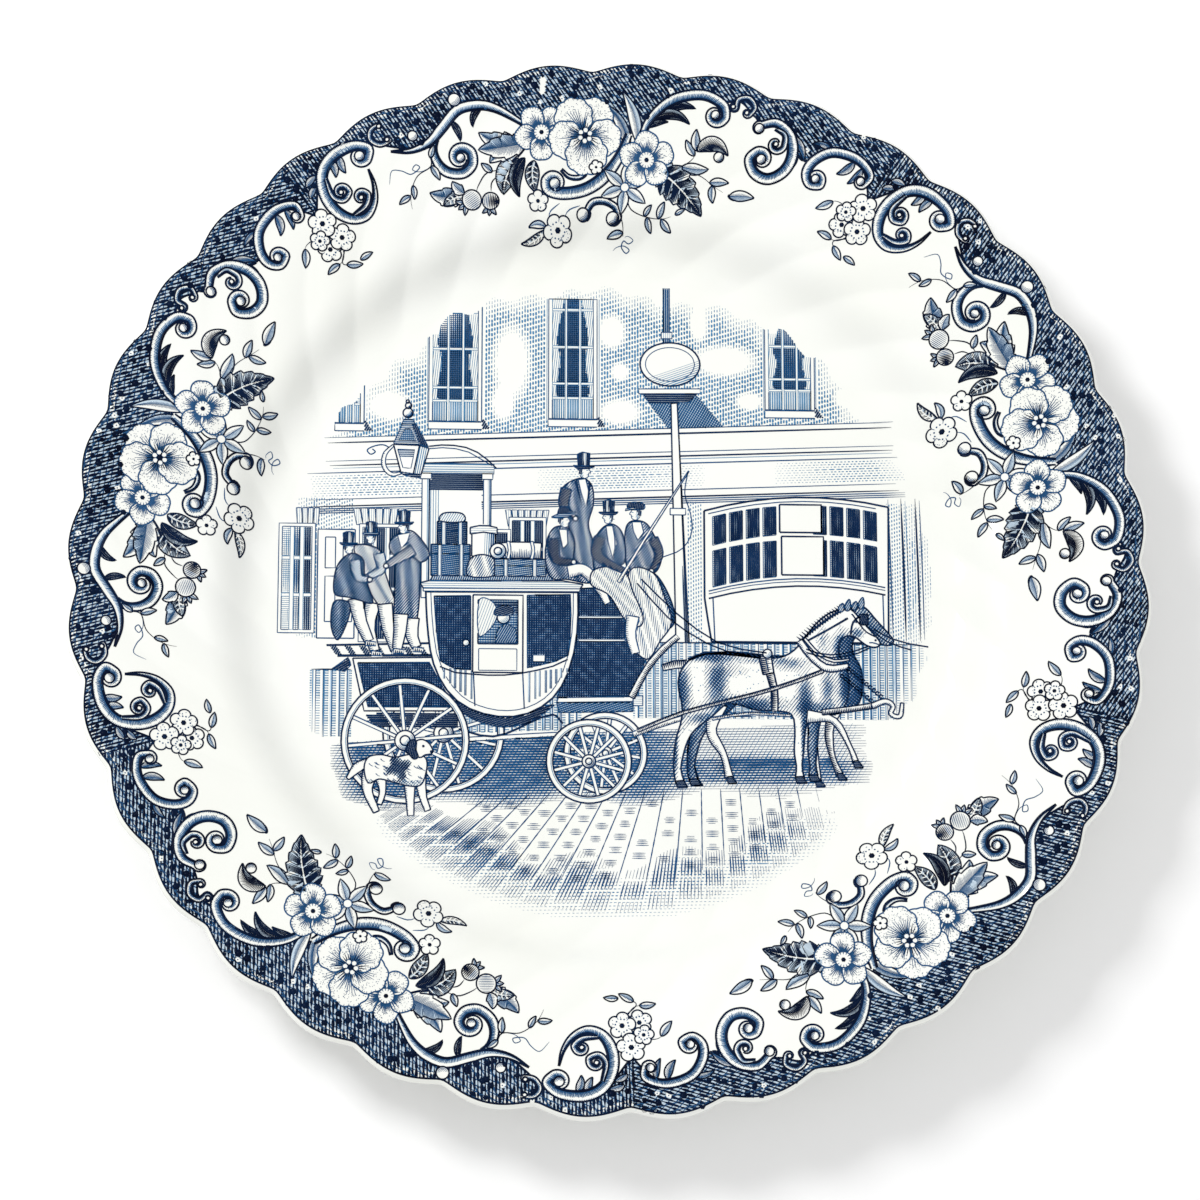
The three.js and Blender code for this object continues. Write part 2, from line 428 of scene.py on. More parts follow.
def polar(degrees, radius):
    """A point given by degrees clockwise from +Y and a distance from the centre."""
    return radius * np.exp(1j * np.radians(90 - np.asarray(degrees, float)))


def smooth(points, steps=8, closed=False):
    """A Catmull-Rom curve through points."""
    p = np.asarray(points, complex)
    p = np.r_[p[-1], p, p[0], p[1]] if closed else np.r_[2 * p[0] - p[1], p, 2 * p[-1] - p[-2]]
    t = np.arange(steps)[None, :] / steps
    a, b, c, d = (p[i : len(p) - 3 + i, None] for i in range(4))
    bend, twist = 2 * a - 5 * b + 4 * c - d, 3 * b - a - 3 * c + d
    curve = 0.5 * (2 * b + (c - a) * t + bend * t**2 + twist * t**3)
    return curve.ravel() if closed else np.r_[curve.ravel(), p[-2]]


def lengths_along(path):
    """The distance along a path at each of its points."""
    return np.r_[0, np.cumsum(np.abs(np.diff(path)))]


def resampled(path, count):
    """A path cut into equal steps."""
    along = lengths_along(path)
    return np.interp(np.linspace(0, along[-1], count), along, path)


def sideways(path):
    """The unit vector to the left of a path at each point."""
    tangent = np.gradient(path)
    return 1j * tangent / np.maximum(np.abs(tangent), 1e-9)


def ring(centre, radius, count=24):
    """A circle."""
    return centre + radius * np.exp(2j * np.pi * np.arange(count) / count)


def extent(points):
    """The lower left and the upper right corner of the box round points."""
    low = complex(points.real.min(), points.imag.min())
    high = complex(points.real.max(), points.imag.max())
    return low, high


def swell(t):
    """A stroke that is thin at both ends."""
    return np.sin(np.pi * t) ** 0.6


def fade(t):
    """A stroke that thins out towards its end."""
    return 1 - t**1.5


class Print:
    """
    A drawing in ink. Shapes cover what was drawn before them, as paper cut-outs would, and a
    stroke shows where nothing later covers it. Turns repeat the covers, so that the neighbouring
    lengths of a border cover this one too. Reach is the longest step that a straight line keeps.
    """

    def __init__(self, low, high, turns=(0,), reach=0.9, seed=1):
        self.low, self.reach = low, reach
        size = (high - low) / PIXEL
        self.owner = np.zeros((int(size.imag), int(size.real)), np.int32)
        self.turns = np.exp(1j * np.asarray(turns))
        self.shapes = 0
        self.strokes = []
        self.dots = []
        self.random = np.random.default_rng(seed)

    def cover(self, outline):
        """Covers the inside of an outline, and returns the new shape's number."""
        self.shapes += 1
        for turn in self.turns:
            self.fill((outline * turn - self.low) / PIXEL - 0.5 - 0.5j)
        return self.shapes

    def fill(self, p):
        """Gives the pixels inside an outline, in pixels, to the newest shape."""
        rows, columns = self.owner.shape
        q = np.roll(p, -1)
        first = np.clip(np.ceil(np.minimum(p.imag, q.imag)), 0, rows).astype(int)
        last = np.clip(np.ceil(np.maximum(p.imag, q.imag)), 0, rows).astype(int)
        count = last - first
        if not count.any():
            return
        edge = np.repeat(np.arange(len(p)), count)
        row = np.arange(count.sum()) - np.repeat(np.cumsum(count) - count, count) + first[edge]
        step = (q - p)[edge]
        x = p.real[edge] + (row - p.imag[edge]) * step.real / step.imag
        column = np.clip(np.ceil(x), 0, columns).astype(int)
        r0, r1, c0, c1 = row.min(), row.max() + 1, column.min(), column.max() + 1
        winding = np.zeros((r1 - r0, c1 - c0), np.int32)
        np.add.at(winding, (row - r0, column - c0), np.sign(step.imag).astype(np.int32))
        inside = np.cumsum(winding, axis=1) != 0
        window = self.owner[r0:r1, c0:c1]
        window[inside[:, : window.shape[1]]] = self.shapes

    def owners(self, points):
        """The number of the shape on top at each point."""
        spot = (points - self.low) / PIXEL
        row = np.clip(spot.imag.astype(int), 0, self.owner.shape[0] - 1)
        column = np.clip(spot.real.astype(int), 0, self.owner.shape[1] - 1)
        return self.owner[row, column]

    def stroke(self, path, width, shape=None, only_inside=False, strength=None):
        """
        A line of one width, or of a width for each of its points. Its strength, from 0 to 1, says
        how dark its ink prints, and a wide line prints darkest.
        """
        path = np.asarray(path, complex)
        widths = np.broadcast_to(width, path.shape).astype(float)
        if strength is None:
            strength = min(widths.max() / FULL_INK_WIDTH, 1)
        if shape is None:
            shape = self.shapes
        self.strokes.append((path, widths, shape, only_inside, strength))

    def contour(self, outline, width, **options):
        """A line of one width round an outline."""
        self.stroke(np.r_[outline, outline[0]], width, **options)

    def taper(self, path, width, form=swell, **options):
        """A line whose width follows a form along it."""
        along = lengths_along(path)
        self.stroke(path, width * form(along / max(along[-1], 1e-9)), **options)

    def dot(self, centre, radius, shape=None, only_inside=False):
        """A small round spot."""
        if shape is None:
            shape = self.shapes
        self.dots.append((centre, radius, shape, only_inside))

    def shade(self, shape, outline, angle, pitch, tone, step=0.5, strength=None):
        """
        Fills a shape with parallel lines. tone is a number or a function of the points, and
        gives the share of the pitch that is ink, and the strength where none is given.
        """
        turn = np.exp(1j * math.radians(angle))
        low, high = extent(outline / turn)
        across = np.arange(math.ceil((high - low).real / step) + 1) * step + low.real
        for y in np.arange(math.floor(low.imag / pitch), high.imag / pitch) * pitch:
            path = (across + 1j * y) * turn
            share = toned(tone, path)
            if share.max() > 0.1:
                force = share.max() if strength is None else strength
                self.stroke(path, pitch * share, shape, True, force)

    def wash(self, shape, outline, angle, tone):
        """Tints a shape palely where tone is dark, as ink that bleeds into the glaze does."""
        def bleed(z):
            return np.clip(3 * toned(tone, z) - 0.75, 0, 1)

        self.shade(shape, outline, angle, WASH_PITCH, bleed, strength=WASH_STRENGTH)

    def stipple(self, shape, outline, spacing, radius, tone):
        """Scatters dots in a shape, more where tone is high."""
        low, high = extent(outline)
        size = high - low
        count = int(size.real * size.imag / spacing**2)
        across, up = self.random.random(count), self.random.random(count)
        spots = low + across * size.real + 1j * up * size.imag
        keep = self.random.random(count) < tone(spots)
        for spot in spots[keep]:
            self.dot(spot, radius * self.random.uniform(0.7, 1.2), shape=shape, only_inside=True)

    def visible_strokes(self):
        """The stretches of strokes that nothing covers, as (path, widths, strength)."""
        sampled = []
        for path, widths, shape, only_inside, strength in self.strokes:
            along = lengths_along(path)
            at = np.linspace(0, along[-1], max(int(along[-1] / SAMPLE_STEP), 2) + 1)
            path, widths = np.interp(at, along, path), np.interp(at, along, widths)
            sampled.append((path, widths, shape, only_inside, strength))
        everywhere = self.owners(np.concatenate([s[0] for s in sampled]))
        owners = np.split(everywhere, np.cumsum([len(s[0]) for s in sampled])[:-1])
        shown = []
        for (path, widths, shape, only_inside, strength), owner in zip(sampled, owners):
            free = (owner == shape) if only_inside else (owner <= shape)
            free &= widths >= HAIRLINE
            ends = np.flatnonzero(np.diff(np.r_[0, free.astype(int), 0]))
            for start, stop in zip(ends[::2], ends[1::2]):
                if stop - start > 1:
                    kept = simplified(path[start:stop], widths[start:stop], self.reach)
                    shown.append((*kept, strength))
        return shown

    def visible_dots(self):
        """The centres and radii of the dots that nothing covers."""
        centre, radius, shape, only_inside = (np.array(column) for column in zip(*self.dots))
        owner = self.owners(centre)
        free = np.where(only_inside, owner == shape, owner <= shape)
        return centre[free], radius[free]


def toned(tone, points):
    """A tone at each of the points, from a number or from a function of them."""
    return tone(points) if callable(tone) else np.full(len(points), tone)


def simplified(path, widths, reach):
    """A path cut at its corners, and between them into steps that suit its bends and widths."""
    along = lengths_along(path)
    direction = np.diff(path)
    turning = np.r_[0, np.abs(np.angle(direction[1:] / direction[:-1])), 0]
    change = np.r_[0, np.abs(np.diff(widths))]
    corners = np.flatnonzero(turning > CORNER_TURN)
    at = [np.zeros(1)]
    for i, j in zip(np.r_[0, corners], np.r_[corners, len(path) - 1]):
        for_length = math.ceil((along[j] - along[i]) / reach)
        for_bend = round(math.degrees(turning[i + 1 : j].sum()) / BEND_STEP)
        for_width = round(change[i + 1 : j + 1].sum() / WIDTH_STEP)
        steps = max(1, for_length, for_bend, for_width)
        at.append(np.linspace(along[i], along[j], steps + 1)[1:])
    at = np.concatenate(at)
    return np.interp(at, along, path), np.interp(at, along, widths)


def ink_piece(name, strokes, dots, ink_top, node, material):
    """One piece of raised ink from strokes and dots, laid on the glazed face up to ink_top."""
    path = np.concatenate([s[0] for s in strokes])
    widths = np.concatenate([s[1] for s in strokes])
    side = np.concatenate([sideways(s[0]) for s in strokes]) * np.maximum(widths, HAIRLINE) / 2
    last = np.cumsum([len(s[0]) for s in strokes]) - 1
    first = np.r_[0, last[:-1] + 1]
    left, right = path + side, path - side
    outline = np.concatenate([left, right])
    count = len(path)
    start = np.setdiff1d(np.arange(count), last)
    # Corners of a section: left and right on top, then right and left below.
    a, b, c, d = (np.arange(count) + count * i for i in range(4))
    quads = [
        np.stack(corners, -1)
        for corners in (
            (a[start], b[start], b[start + 1], a[start + 1]),
            (b[start], c[start], c[start + 1], b[start + 1]),
            (c[start], d[start], d[start + 1], c[start + 1]),
            (d[start], a[start], a[start + 1], d[start + 1]),
            (a[first], d[first], c[first], b[first]),
            (a[last], b[last], c[last], d[last]),
        )
    ]
    plan = np.concatenate([left, right, right, left])
    top = surface_height(outline)
    height = np.concatenate([top + ink_top, top[count:] + INK_BOTTOM, top[:count] + INK_BOTTOM])
    # A dot is a hexagon, which two quads fill above and two below.
    centres, radii = dots
    rim = (centres[:, None] + radii[:, None] * ring(0, 1, DOT_SIDES)).ravel()
    base = len(plan) + np.arange(len(centres))[:, None] * DOT_SIDES
    low = base + len(rim)
    quads += [base + np.array([0, 1, 2, 3]), base + np.array([0, 3, 4, 5])]
    quads += [low + np.array([3, 2, 1, 0]), low + np.array([5, 4, 3, 0])]
    for i in range(DOT_SIDES):
        j = (i + 1) % DOT_SIDES
        quads.append(np.hstack([base + i, low + i, low + j, base + j]))
    rim_height = surface_height(rim)
    plan = np.concatenate([plan, rim, rim])
    height = np.concatenate([height, rim_height + ink_top, rim_height + INK_BOTTOM])
    vertices = np.column_stack([plan.real, plan.imag, height])
    piece = quad_mesh(name, vertices, np.vstack(quads), material)
    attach(piece, "root")
    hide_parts(node)


# ---------------------------------------------------------------- ornament

OUTLINE = 0.34
FINE = 0.17


def steady(t):
    """A stroke that keeps most of its width."""
    return 1 - 0.65 * t**2


def outline_of(spine, half):
    """The closed outline of a band, and its left and right sides."""
    side = sideways(spine) * half
    return np.r_[spine + side, (spine - side)[::-1]], spine + side, spine - side


def curled(points, centre, turns=0.9, shrink=0.72):
    """A path's points, carried on into a spiral round a centre."""
    arm = points[-1] - centre
    sense = np.sign(((points[-1] - points[-2]) * np.conj(arm)).imag)
    t = np.linspace(0, 1, 12)[1:]
    return np.r_[points, centre + arm * (1 - shrink * t) * np.exp(2j * np.pi * turns * sense * t)]


def bead(p, centre, radius, dark=0.5):
    """A ball with a shaded crescent at its lower right."""
    outline = ring(centre, radius)
    p.cover(outline)
    pitch = 0.3
    for i in range(int(radius / pitch)):
        inner = radius - pitch * (i + 0.5)
        arc = centre + inner * np.exp(1j * np.linspace(-2.7, 1.0, 14))
        p.taper(arc, pitch * (1 - i * pitch / radius) * (0.35 + dark))
    p.contour(outline, OUTLINE)


def scroll(p, points, width, dark=-1, start=None, end=None, ends=(0.5, 0.5), tone=1.0):
    """
    A moulded band. dark is the shaded side: 1 for its left, -1 for its right. start and end are
    the centres of the spirals it curls into, and ends its shares of its width there.
    """
    points = np.asarray(points, complex)
    if end is not None:
        points = curled(points, end)
    if start is not None:
        points = curled(points[::-1], start)[::-1]
    spine = smooth(points, 8)
    pitch = 0.36
    spine = resampled(spine, int(lengths_along(spine)[-1] / pitch))
    t = np.linspace(0, 1, len(spine))
    half = width / 2
    for end_share, away in zip(ends, (t, 1 - t)):
        half = half * (end_share + (1 - end_share) * np.minimum(away / 0.35, 1) ** 0.8)
    outline, left, right = outline_of(spine, half)
    for centre in (start, end):
        if centre is not None:
            p.cover(ring(centre, width * 0.62))
    p.cover(outline)
    lit, shady = (right, left) if dark > 0 else (left, right)
    p.stroke(shady + (lit - shady) * 0.32, half, strength=WASH_STRENGTH)
    for i in range(1, len(spine) - 1):
        ahead = (spine[i + 1] - spine[i - 1]) * 0.7
        reach = (0.42 + 0.3 * tone) * (0.85 + 0.3 * p.random.random())
        across = (lit[i] - shady[i]) * reach + ahead
        path = shady[i] + across * np.array([0, 0.45, 1])
        p.taper(path, 0.42, fade, only_inside=True, strength=0.6)
        reach = (0.12 + 0.12 * tone) * (0.8 + 0.4 * p.random.random())
        path = lit[i] + (shady[i] - lit[i]) * reach * np.array([0, 1]) + ahead * np.array([0, 0.4])
        p.taper(path, 0.26 * tone, fade, only_inside=True)
    p.stroke(lit, OUTLINE * 1.3)
    p.stroke(shady + (lit - shady) * 0.05, OUTLINE * 1.9)
    for centre in (start, end):
        if centre is not None:
            bead(p, centre, width * 0.46, 0.6)


def leaf(p, root, tip, width, bend=0.0, teeth=0, tone=0.35, veins=True, blunt=0.8):
    """A leaf with a midrib and side veins, shaded more on its right half."""
    count = 49
    t = np.linspace(0, 1, count)
    spine = root + (tip - root) * (t + 4j * bend * t * (1 - t))
    half = width / 2 * np.sin(np.pi * t**blunt) ** 0.85
    if teeth:
        half = half * (0.86 + 0.22 * (t * teeth % 1))
    outline, left, right = outline_of(spine, half)
    shape = p.cover(outline)
    for side in (left, right) if tone > 0.6 else (right,):
        p.stroke((spine + side) / 2, half * 0.9, strength=WASH_STRENGTH)
    pitch = 0.33
    lines = max(int(abs(tip - root) / pitch), 4)
    for side, share in ((left, 0.75), (right, 1.3)):
        ink = pitch * min(tone * share + 0.1, 0.93)
        reach = min(0.35 + tone * share, 1)
        for start in np.linspace(0.02, 0.9, lines):
            near = np.interp(start, t, spine)
            edge = np.interp(start + 0.13, t, side)
            far = near + (edge - near) * reach * (0.85 + 0.3 * p.random.random())
            path = near + (far - near) * np.array([0, 0.55, 1])
            p.taper(path, ink, steady, shape=shape, only_inside=True, strength=0.3 + 0.7 * tone)
    if veins and tone > 0.5:
        for side in (left, right):
            for start in (0.14, 0.3, 0.46, 0.62):
                near = np.interp(start, t, spine)
                vein = np.linspace(near, near + (np.interp(start + 0.16, t, side) - near) * 0.85, 4)
                p.cover(outline_of(vein, np.array([0.13, 0.12, 0.1, 0.04]))[0])
        p.cover(outline_of(spine[:-4], 0.17 * (1 - t[:-4] * 0.7))[0])
    elif veins:
        p.taper(spine, 0.22, fade)
    p.contour(outline, OUTLINE)


def petal(p, heart, centre, radius, ruffles=5, depth=0.05, rays=9, turn=0.0, stretch=1.0, dark=0.24):
    """A petal with a ruffled edge, rayed from the flower's heart and stippled beyond."""
    phi = np.linspace(0, 2 * np.pi, 49)[:-1]
    wave = 1 - depth * (1 - np.abs(np.sin(ruffles * phi / 2 + turn)))
    distance = abs(centre - heart)
    axis = (centre - heart) / distance
    outline = centre + radius * wave * (np.cos(phi) * stretch + 1j * np.sin(phi)) * axis
    shape = p.cover(outline)
    reach = distance + radius * stretch
    half_angle = math.atan2(radius, distance) * 0.75
    for k in range(rays):
        share = (k + 0.5) / rays * 2 - 1
        ray = axis * np.exp(1j * share * half_angle)
        far = reach * (0.6 + 0.25 * p.random.random() - 0.2 * abs(share))
        path = heart + ray * np.linspace(0.1 * reach, far, 5) * np.exp(0.06j * np.arange(5) * share)
        p.taper(path, dark, fade, only_inside=True, strength=0.6)

    def tone(z):
        along = np.abs(z - heart) / reach
        return np.clip(1.3 - 3 * np.abs(along - 0.5), 0, 1)

    p.stipple(shape, outline, 0.5, 0.09, tone)
    rim = outline[np.abs(np.angle((outline - centre) / axis / np.exp(-0.7j))) < 1.5]
    for z in rim[::2]:
        inwards = (centre - z) / radius
        p.taper([z, z + inwards * 0.45, z + inwards * 0.8], 0.2, fade, only_inside=True)
    p.contour(outline, OUTLINE, strength=0.65)
    return shape


def flower(p, centre, radius, petals=5, turn=0.0, eye=0.3, ruffles=4):
    """An open flower of round petals round an eye."""
    for k in range(petals):
        way = np.exp(1j * (turn + 2 * np.pi * k / petals))
        petal(p, centre, centre + 0.6 * radius * way, 0.46 * radius, ruffles, 0.09, 13, turn=k,
              dark=0.42)
    disc = ring(centre, eye * radius)
    p.cover(disc)
    p.contour(disc, OUTLINE * 0.8)
    for k in range(14):
        way = np.exp(2j * np.pi * k / 14)
        p.taper(centre + eye * radius * way * np.array([0.98, 0.8, 0.55]), 0.26, fade)
    p.dot(centre, eye * radius * 0.3)


def star_flower(p, centre, radius, petals=6, turn=0.0):
    """A flower of pointed petals."""
    for k in range(petals):
        way = np.exp(1j * (turn + 2 * np.pi * k / petals))
        leaf(p, centre + 0.1 * radius * way, centre + radius * way, 0.42 * radius, tone=0.25)
    disc = ring(centre, 0.17 * radius, 12)
    p.cover(disc)
    p.contour(disc, OUTLINE * 0.8)


def blossom(p, centre, radius, turn=0.0, dots=True):
    """A small blossom drawn as one five-lobed outline round a dark heart."""
    phi = np.linspace(0, 2 * np.pi, 81)[:-1]
    lobes = 0.72 + 0.28 * np.abs(np.cos(2.5 * phi)) ** 0.6
    outline = centre + radius * lobes * np.exp(1j * (phi + turn))
    shape = p.cover(outline)
    p.stipple(shape, outline, 0.6, 0.1,
              lambda z: np.clip(np.real((z - centre) * np.exp(0.8j)) / radius, 0, 1))
    for k in range(5):
        way = np.exp(1j * (turn + 2 * np.pi * k / 5))
        crease = way * np.exp(0.2j * np.pi)
        p.taper(centre + radius * crease * np.array([0.72, 0.55, 0.4]), 0.2, fade)
        if dots:
            p.dot(centre + 0.48 * radius * way * np.exp(0.25j), 0.2)
            p.dot(centre + 0.48 * radius * way * np.exp(-0.25j), 0.2)
    p.dot(centre, 0.2 * radius)
    p.contour(outline, OUTLINE)


def pansy(p, heart, size):
    """A broad pansy: five ruffled petals round a starred heart of pearls."""
    for degrees, distance, radius, ruffles in (
        (62, 0.50, 0.50, 9), (122, 0.52, 0.50, 9), (-8, 0.48, 0.46, 7), (192, 0.48, 0.48, 7),
        (-88, 0.46, 0.54, 9)
    ):
        way = np.exp(1j * math.radians(degrees))
        petal(p, heart, heart + way * distance * size, radius * size, ruffles, 0.09, 15, stretch=0.95,
              dark=0.3)
    for k in range(30):
        way = np.exp(2j * np.pi * (k + 0.3) / 30)
        far = size * (0.28 + 0.2 * p.random.random())
        p.taper(heart + way * np.linspace(0.06 * size, far, 4), 0.36, fade)
    for k in range(6):
        pearl = ring(heart + 0.13 * size * np.exp(1j * (0.4 + 2 * np.pi * k / 6)), 0.065 * size, 10)
        p.cover(pearl)
        p.contour(pearl, FINE)
    p.dot(heart, 0.07 * size)


def rosehip(p, centre, radius, way, tone=0.5):
    """A rosehip with a little crown on the end that way points to."""
    for turn in (-0.5, 0, 0.5):
        leaf(p, centre + way * radius * 0.7, centre + way * radius * 1.75 * np.exp(1j * turn),
             0.5 * radius, tone=0.3)
    outline = ring(centre, radius)
    shape = p.cover(outline)
    for i in range(int(2 * radius / 0.4)):
        offset = radius - 0.4 * (i + 0.5)
        half = math.sqrt(max(radius**2 - offset**2, 0))
        bow = np.linspace(-half, half, 7)
        path = centre + 1j * way * offset + way * bow
        p.taper(path, 0.34 * tone * (1.4 - i * 0.2 / radius), shape=shape, only_inside=True)
    p.contour(outline, OUTLINE)


def sprig(p, points, leaves, width=0.28):
    """A stem with little leaves: each a share along it, a turn in degrees and a length."""
    stem = smooth(points, 8)
    p.taper(stem, width, fade)
    along = lengths_along(stem) / lengths_along(stem)[-1]
    for share, degrees, length in leaves:
        root = np.interp(share, along, stem)
        ahead = np.interp(min(share + 0.06, 1), along, stem) - np.interp(share - 0.06, along, stem)
        tip = root + length * ahead / abs(ahead) * np.exp(1j * math.radians(degrees))
        leaf(p, root, tip, 0.42 * length, bend=0.05 * np.sign(degrees), tone=0.3)


# ---------------------------------------------------------------- the border
# One length of border, with its middle on +Y. P(degrees, radius) places a point: degrees
# clockwise from the middle.

P = polar
HALF_LENGTH = 180 / BORDER_LENGTHS
EDGE_LINE = 1.1


def rim_edge(degrees):
    """The plate's outline near the degrees clockwise from +Y, less the unprinted edge line."""
    angle = np.radians(90 - degrees)
    lobe = lobe_share(angle + SWIRL)
    return (RADIUS - EDGE_LINE - SCALLOP_DEPTH * (1 - lobe)) * np.exp(1j * angle)


def border_ground(p, turn):
    """The dark ground between the scrolls and the edge: slanted dashes crossed by a dark net."""
    boundary = [
        (-36, 112), (-34.6, 115.5), (-33.3, 119), (-30, 121), (-27, 120.4), (-25.4, 119), (-24, 117),
        (-22, 115), (-19.5, 115), (-17, 117.5), (-14, 119.5), (-11, 118), (-9, 115), (-7, 113.5),
        (-4, 114), (0, 113), (3, 112), (5, 110), (6.6, 110.5), (8, 115.5), (10, 119), (13, 120.6),
        (15.5, 120), (17.5, 121), (19.3, 118.8), (21, 118), (22.5, 118.4), (24.5, 116.5),
        (26, 113.4), (27.2, 113.4), (28.5, 117), (31, 118.5), (33, 118.3), (34.8, 115), (36, 112),
    ]
    inner = smooth([P(d, r) for d, r in boundary], 4)
    degrees = np.linspace(HALF_LENGTH, -HALF_LENGTH, 181)
    outer = rim_edge(degrees - math.degrees(turn)) * np.exp(-1j * turn)
    outline = np.r_[inner, outer]
    ground = p.cover(outline)

    def inside_length(z):
        return np.abs(np.angle(z / 1j)) <= math.radians(HALF_LENGTH) + 0.002

    def dashes(z):
        wave = np.sin(z.real * 2.1 + 1.3 * np.sin(z.imag * 1.7)) * np.sin(z.imag * 2.4 + z.real * 0.6)
        return inside_length(z) * np.clip(0.54 + 0.52 * wave, 0.22, 0.98)

    def net(z):
        return inside_length(z) * (0.2 + 0.05 * np.sin(1.3 * z.real + 0.9 * z.imag))

    slant = -56
    p.shade(ground, outline, slant, 0.45, inside_length, step=0.9, strength=WASH_STRENGTH)
    p.shade(ground, outline, slant, 0.82, dashes, step=0.6, strength=1)
    for angle, pitch in ((9, 1.3), (-24, 1.7)):
        p.shade(ground, outline, angle, pitch, net, step=0.6)
    # Dark blots, and a few white rings with a dark eye, stand loosely on the nodes of a grid.
    cell, columns, rows, lowest = 3.1, 60, 24, 96
    for i, j in np.ndindex(columns, rows):
        node = cell * (i - columns / 2 + 0.5 * (j % 2)) + 1j * (lowest + 0.5 * cell * j)
        node += 0.4 * cell * (p.random.random() - 0.5 + 1j * (p.random.random() - 0.5))
        if p.owners(np.array([node]))[0] != ground or not inside_length(node):
            continue
        chance = p.random.random()
        if chance < 0.42:
            p.dot(node, p.random.uniform(0.55, 0.95), ground, True)
        elif chance < 0.46:
            p.cover(ring(node, 0.6, 9))
            p.dot(node, 0.16)
    p.stroke(outer, 0.4, ground)
    p.stroke(inner, 0.5, ground)


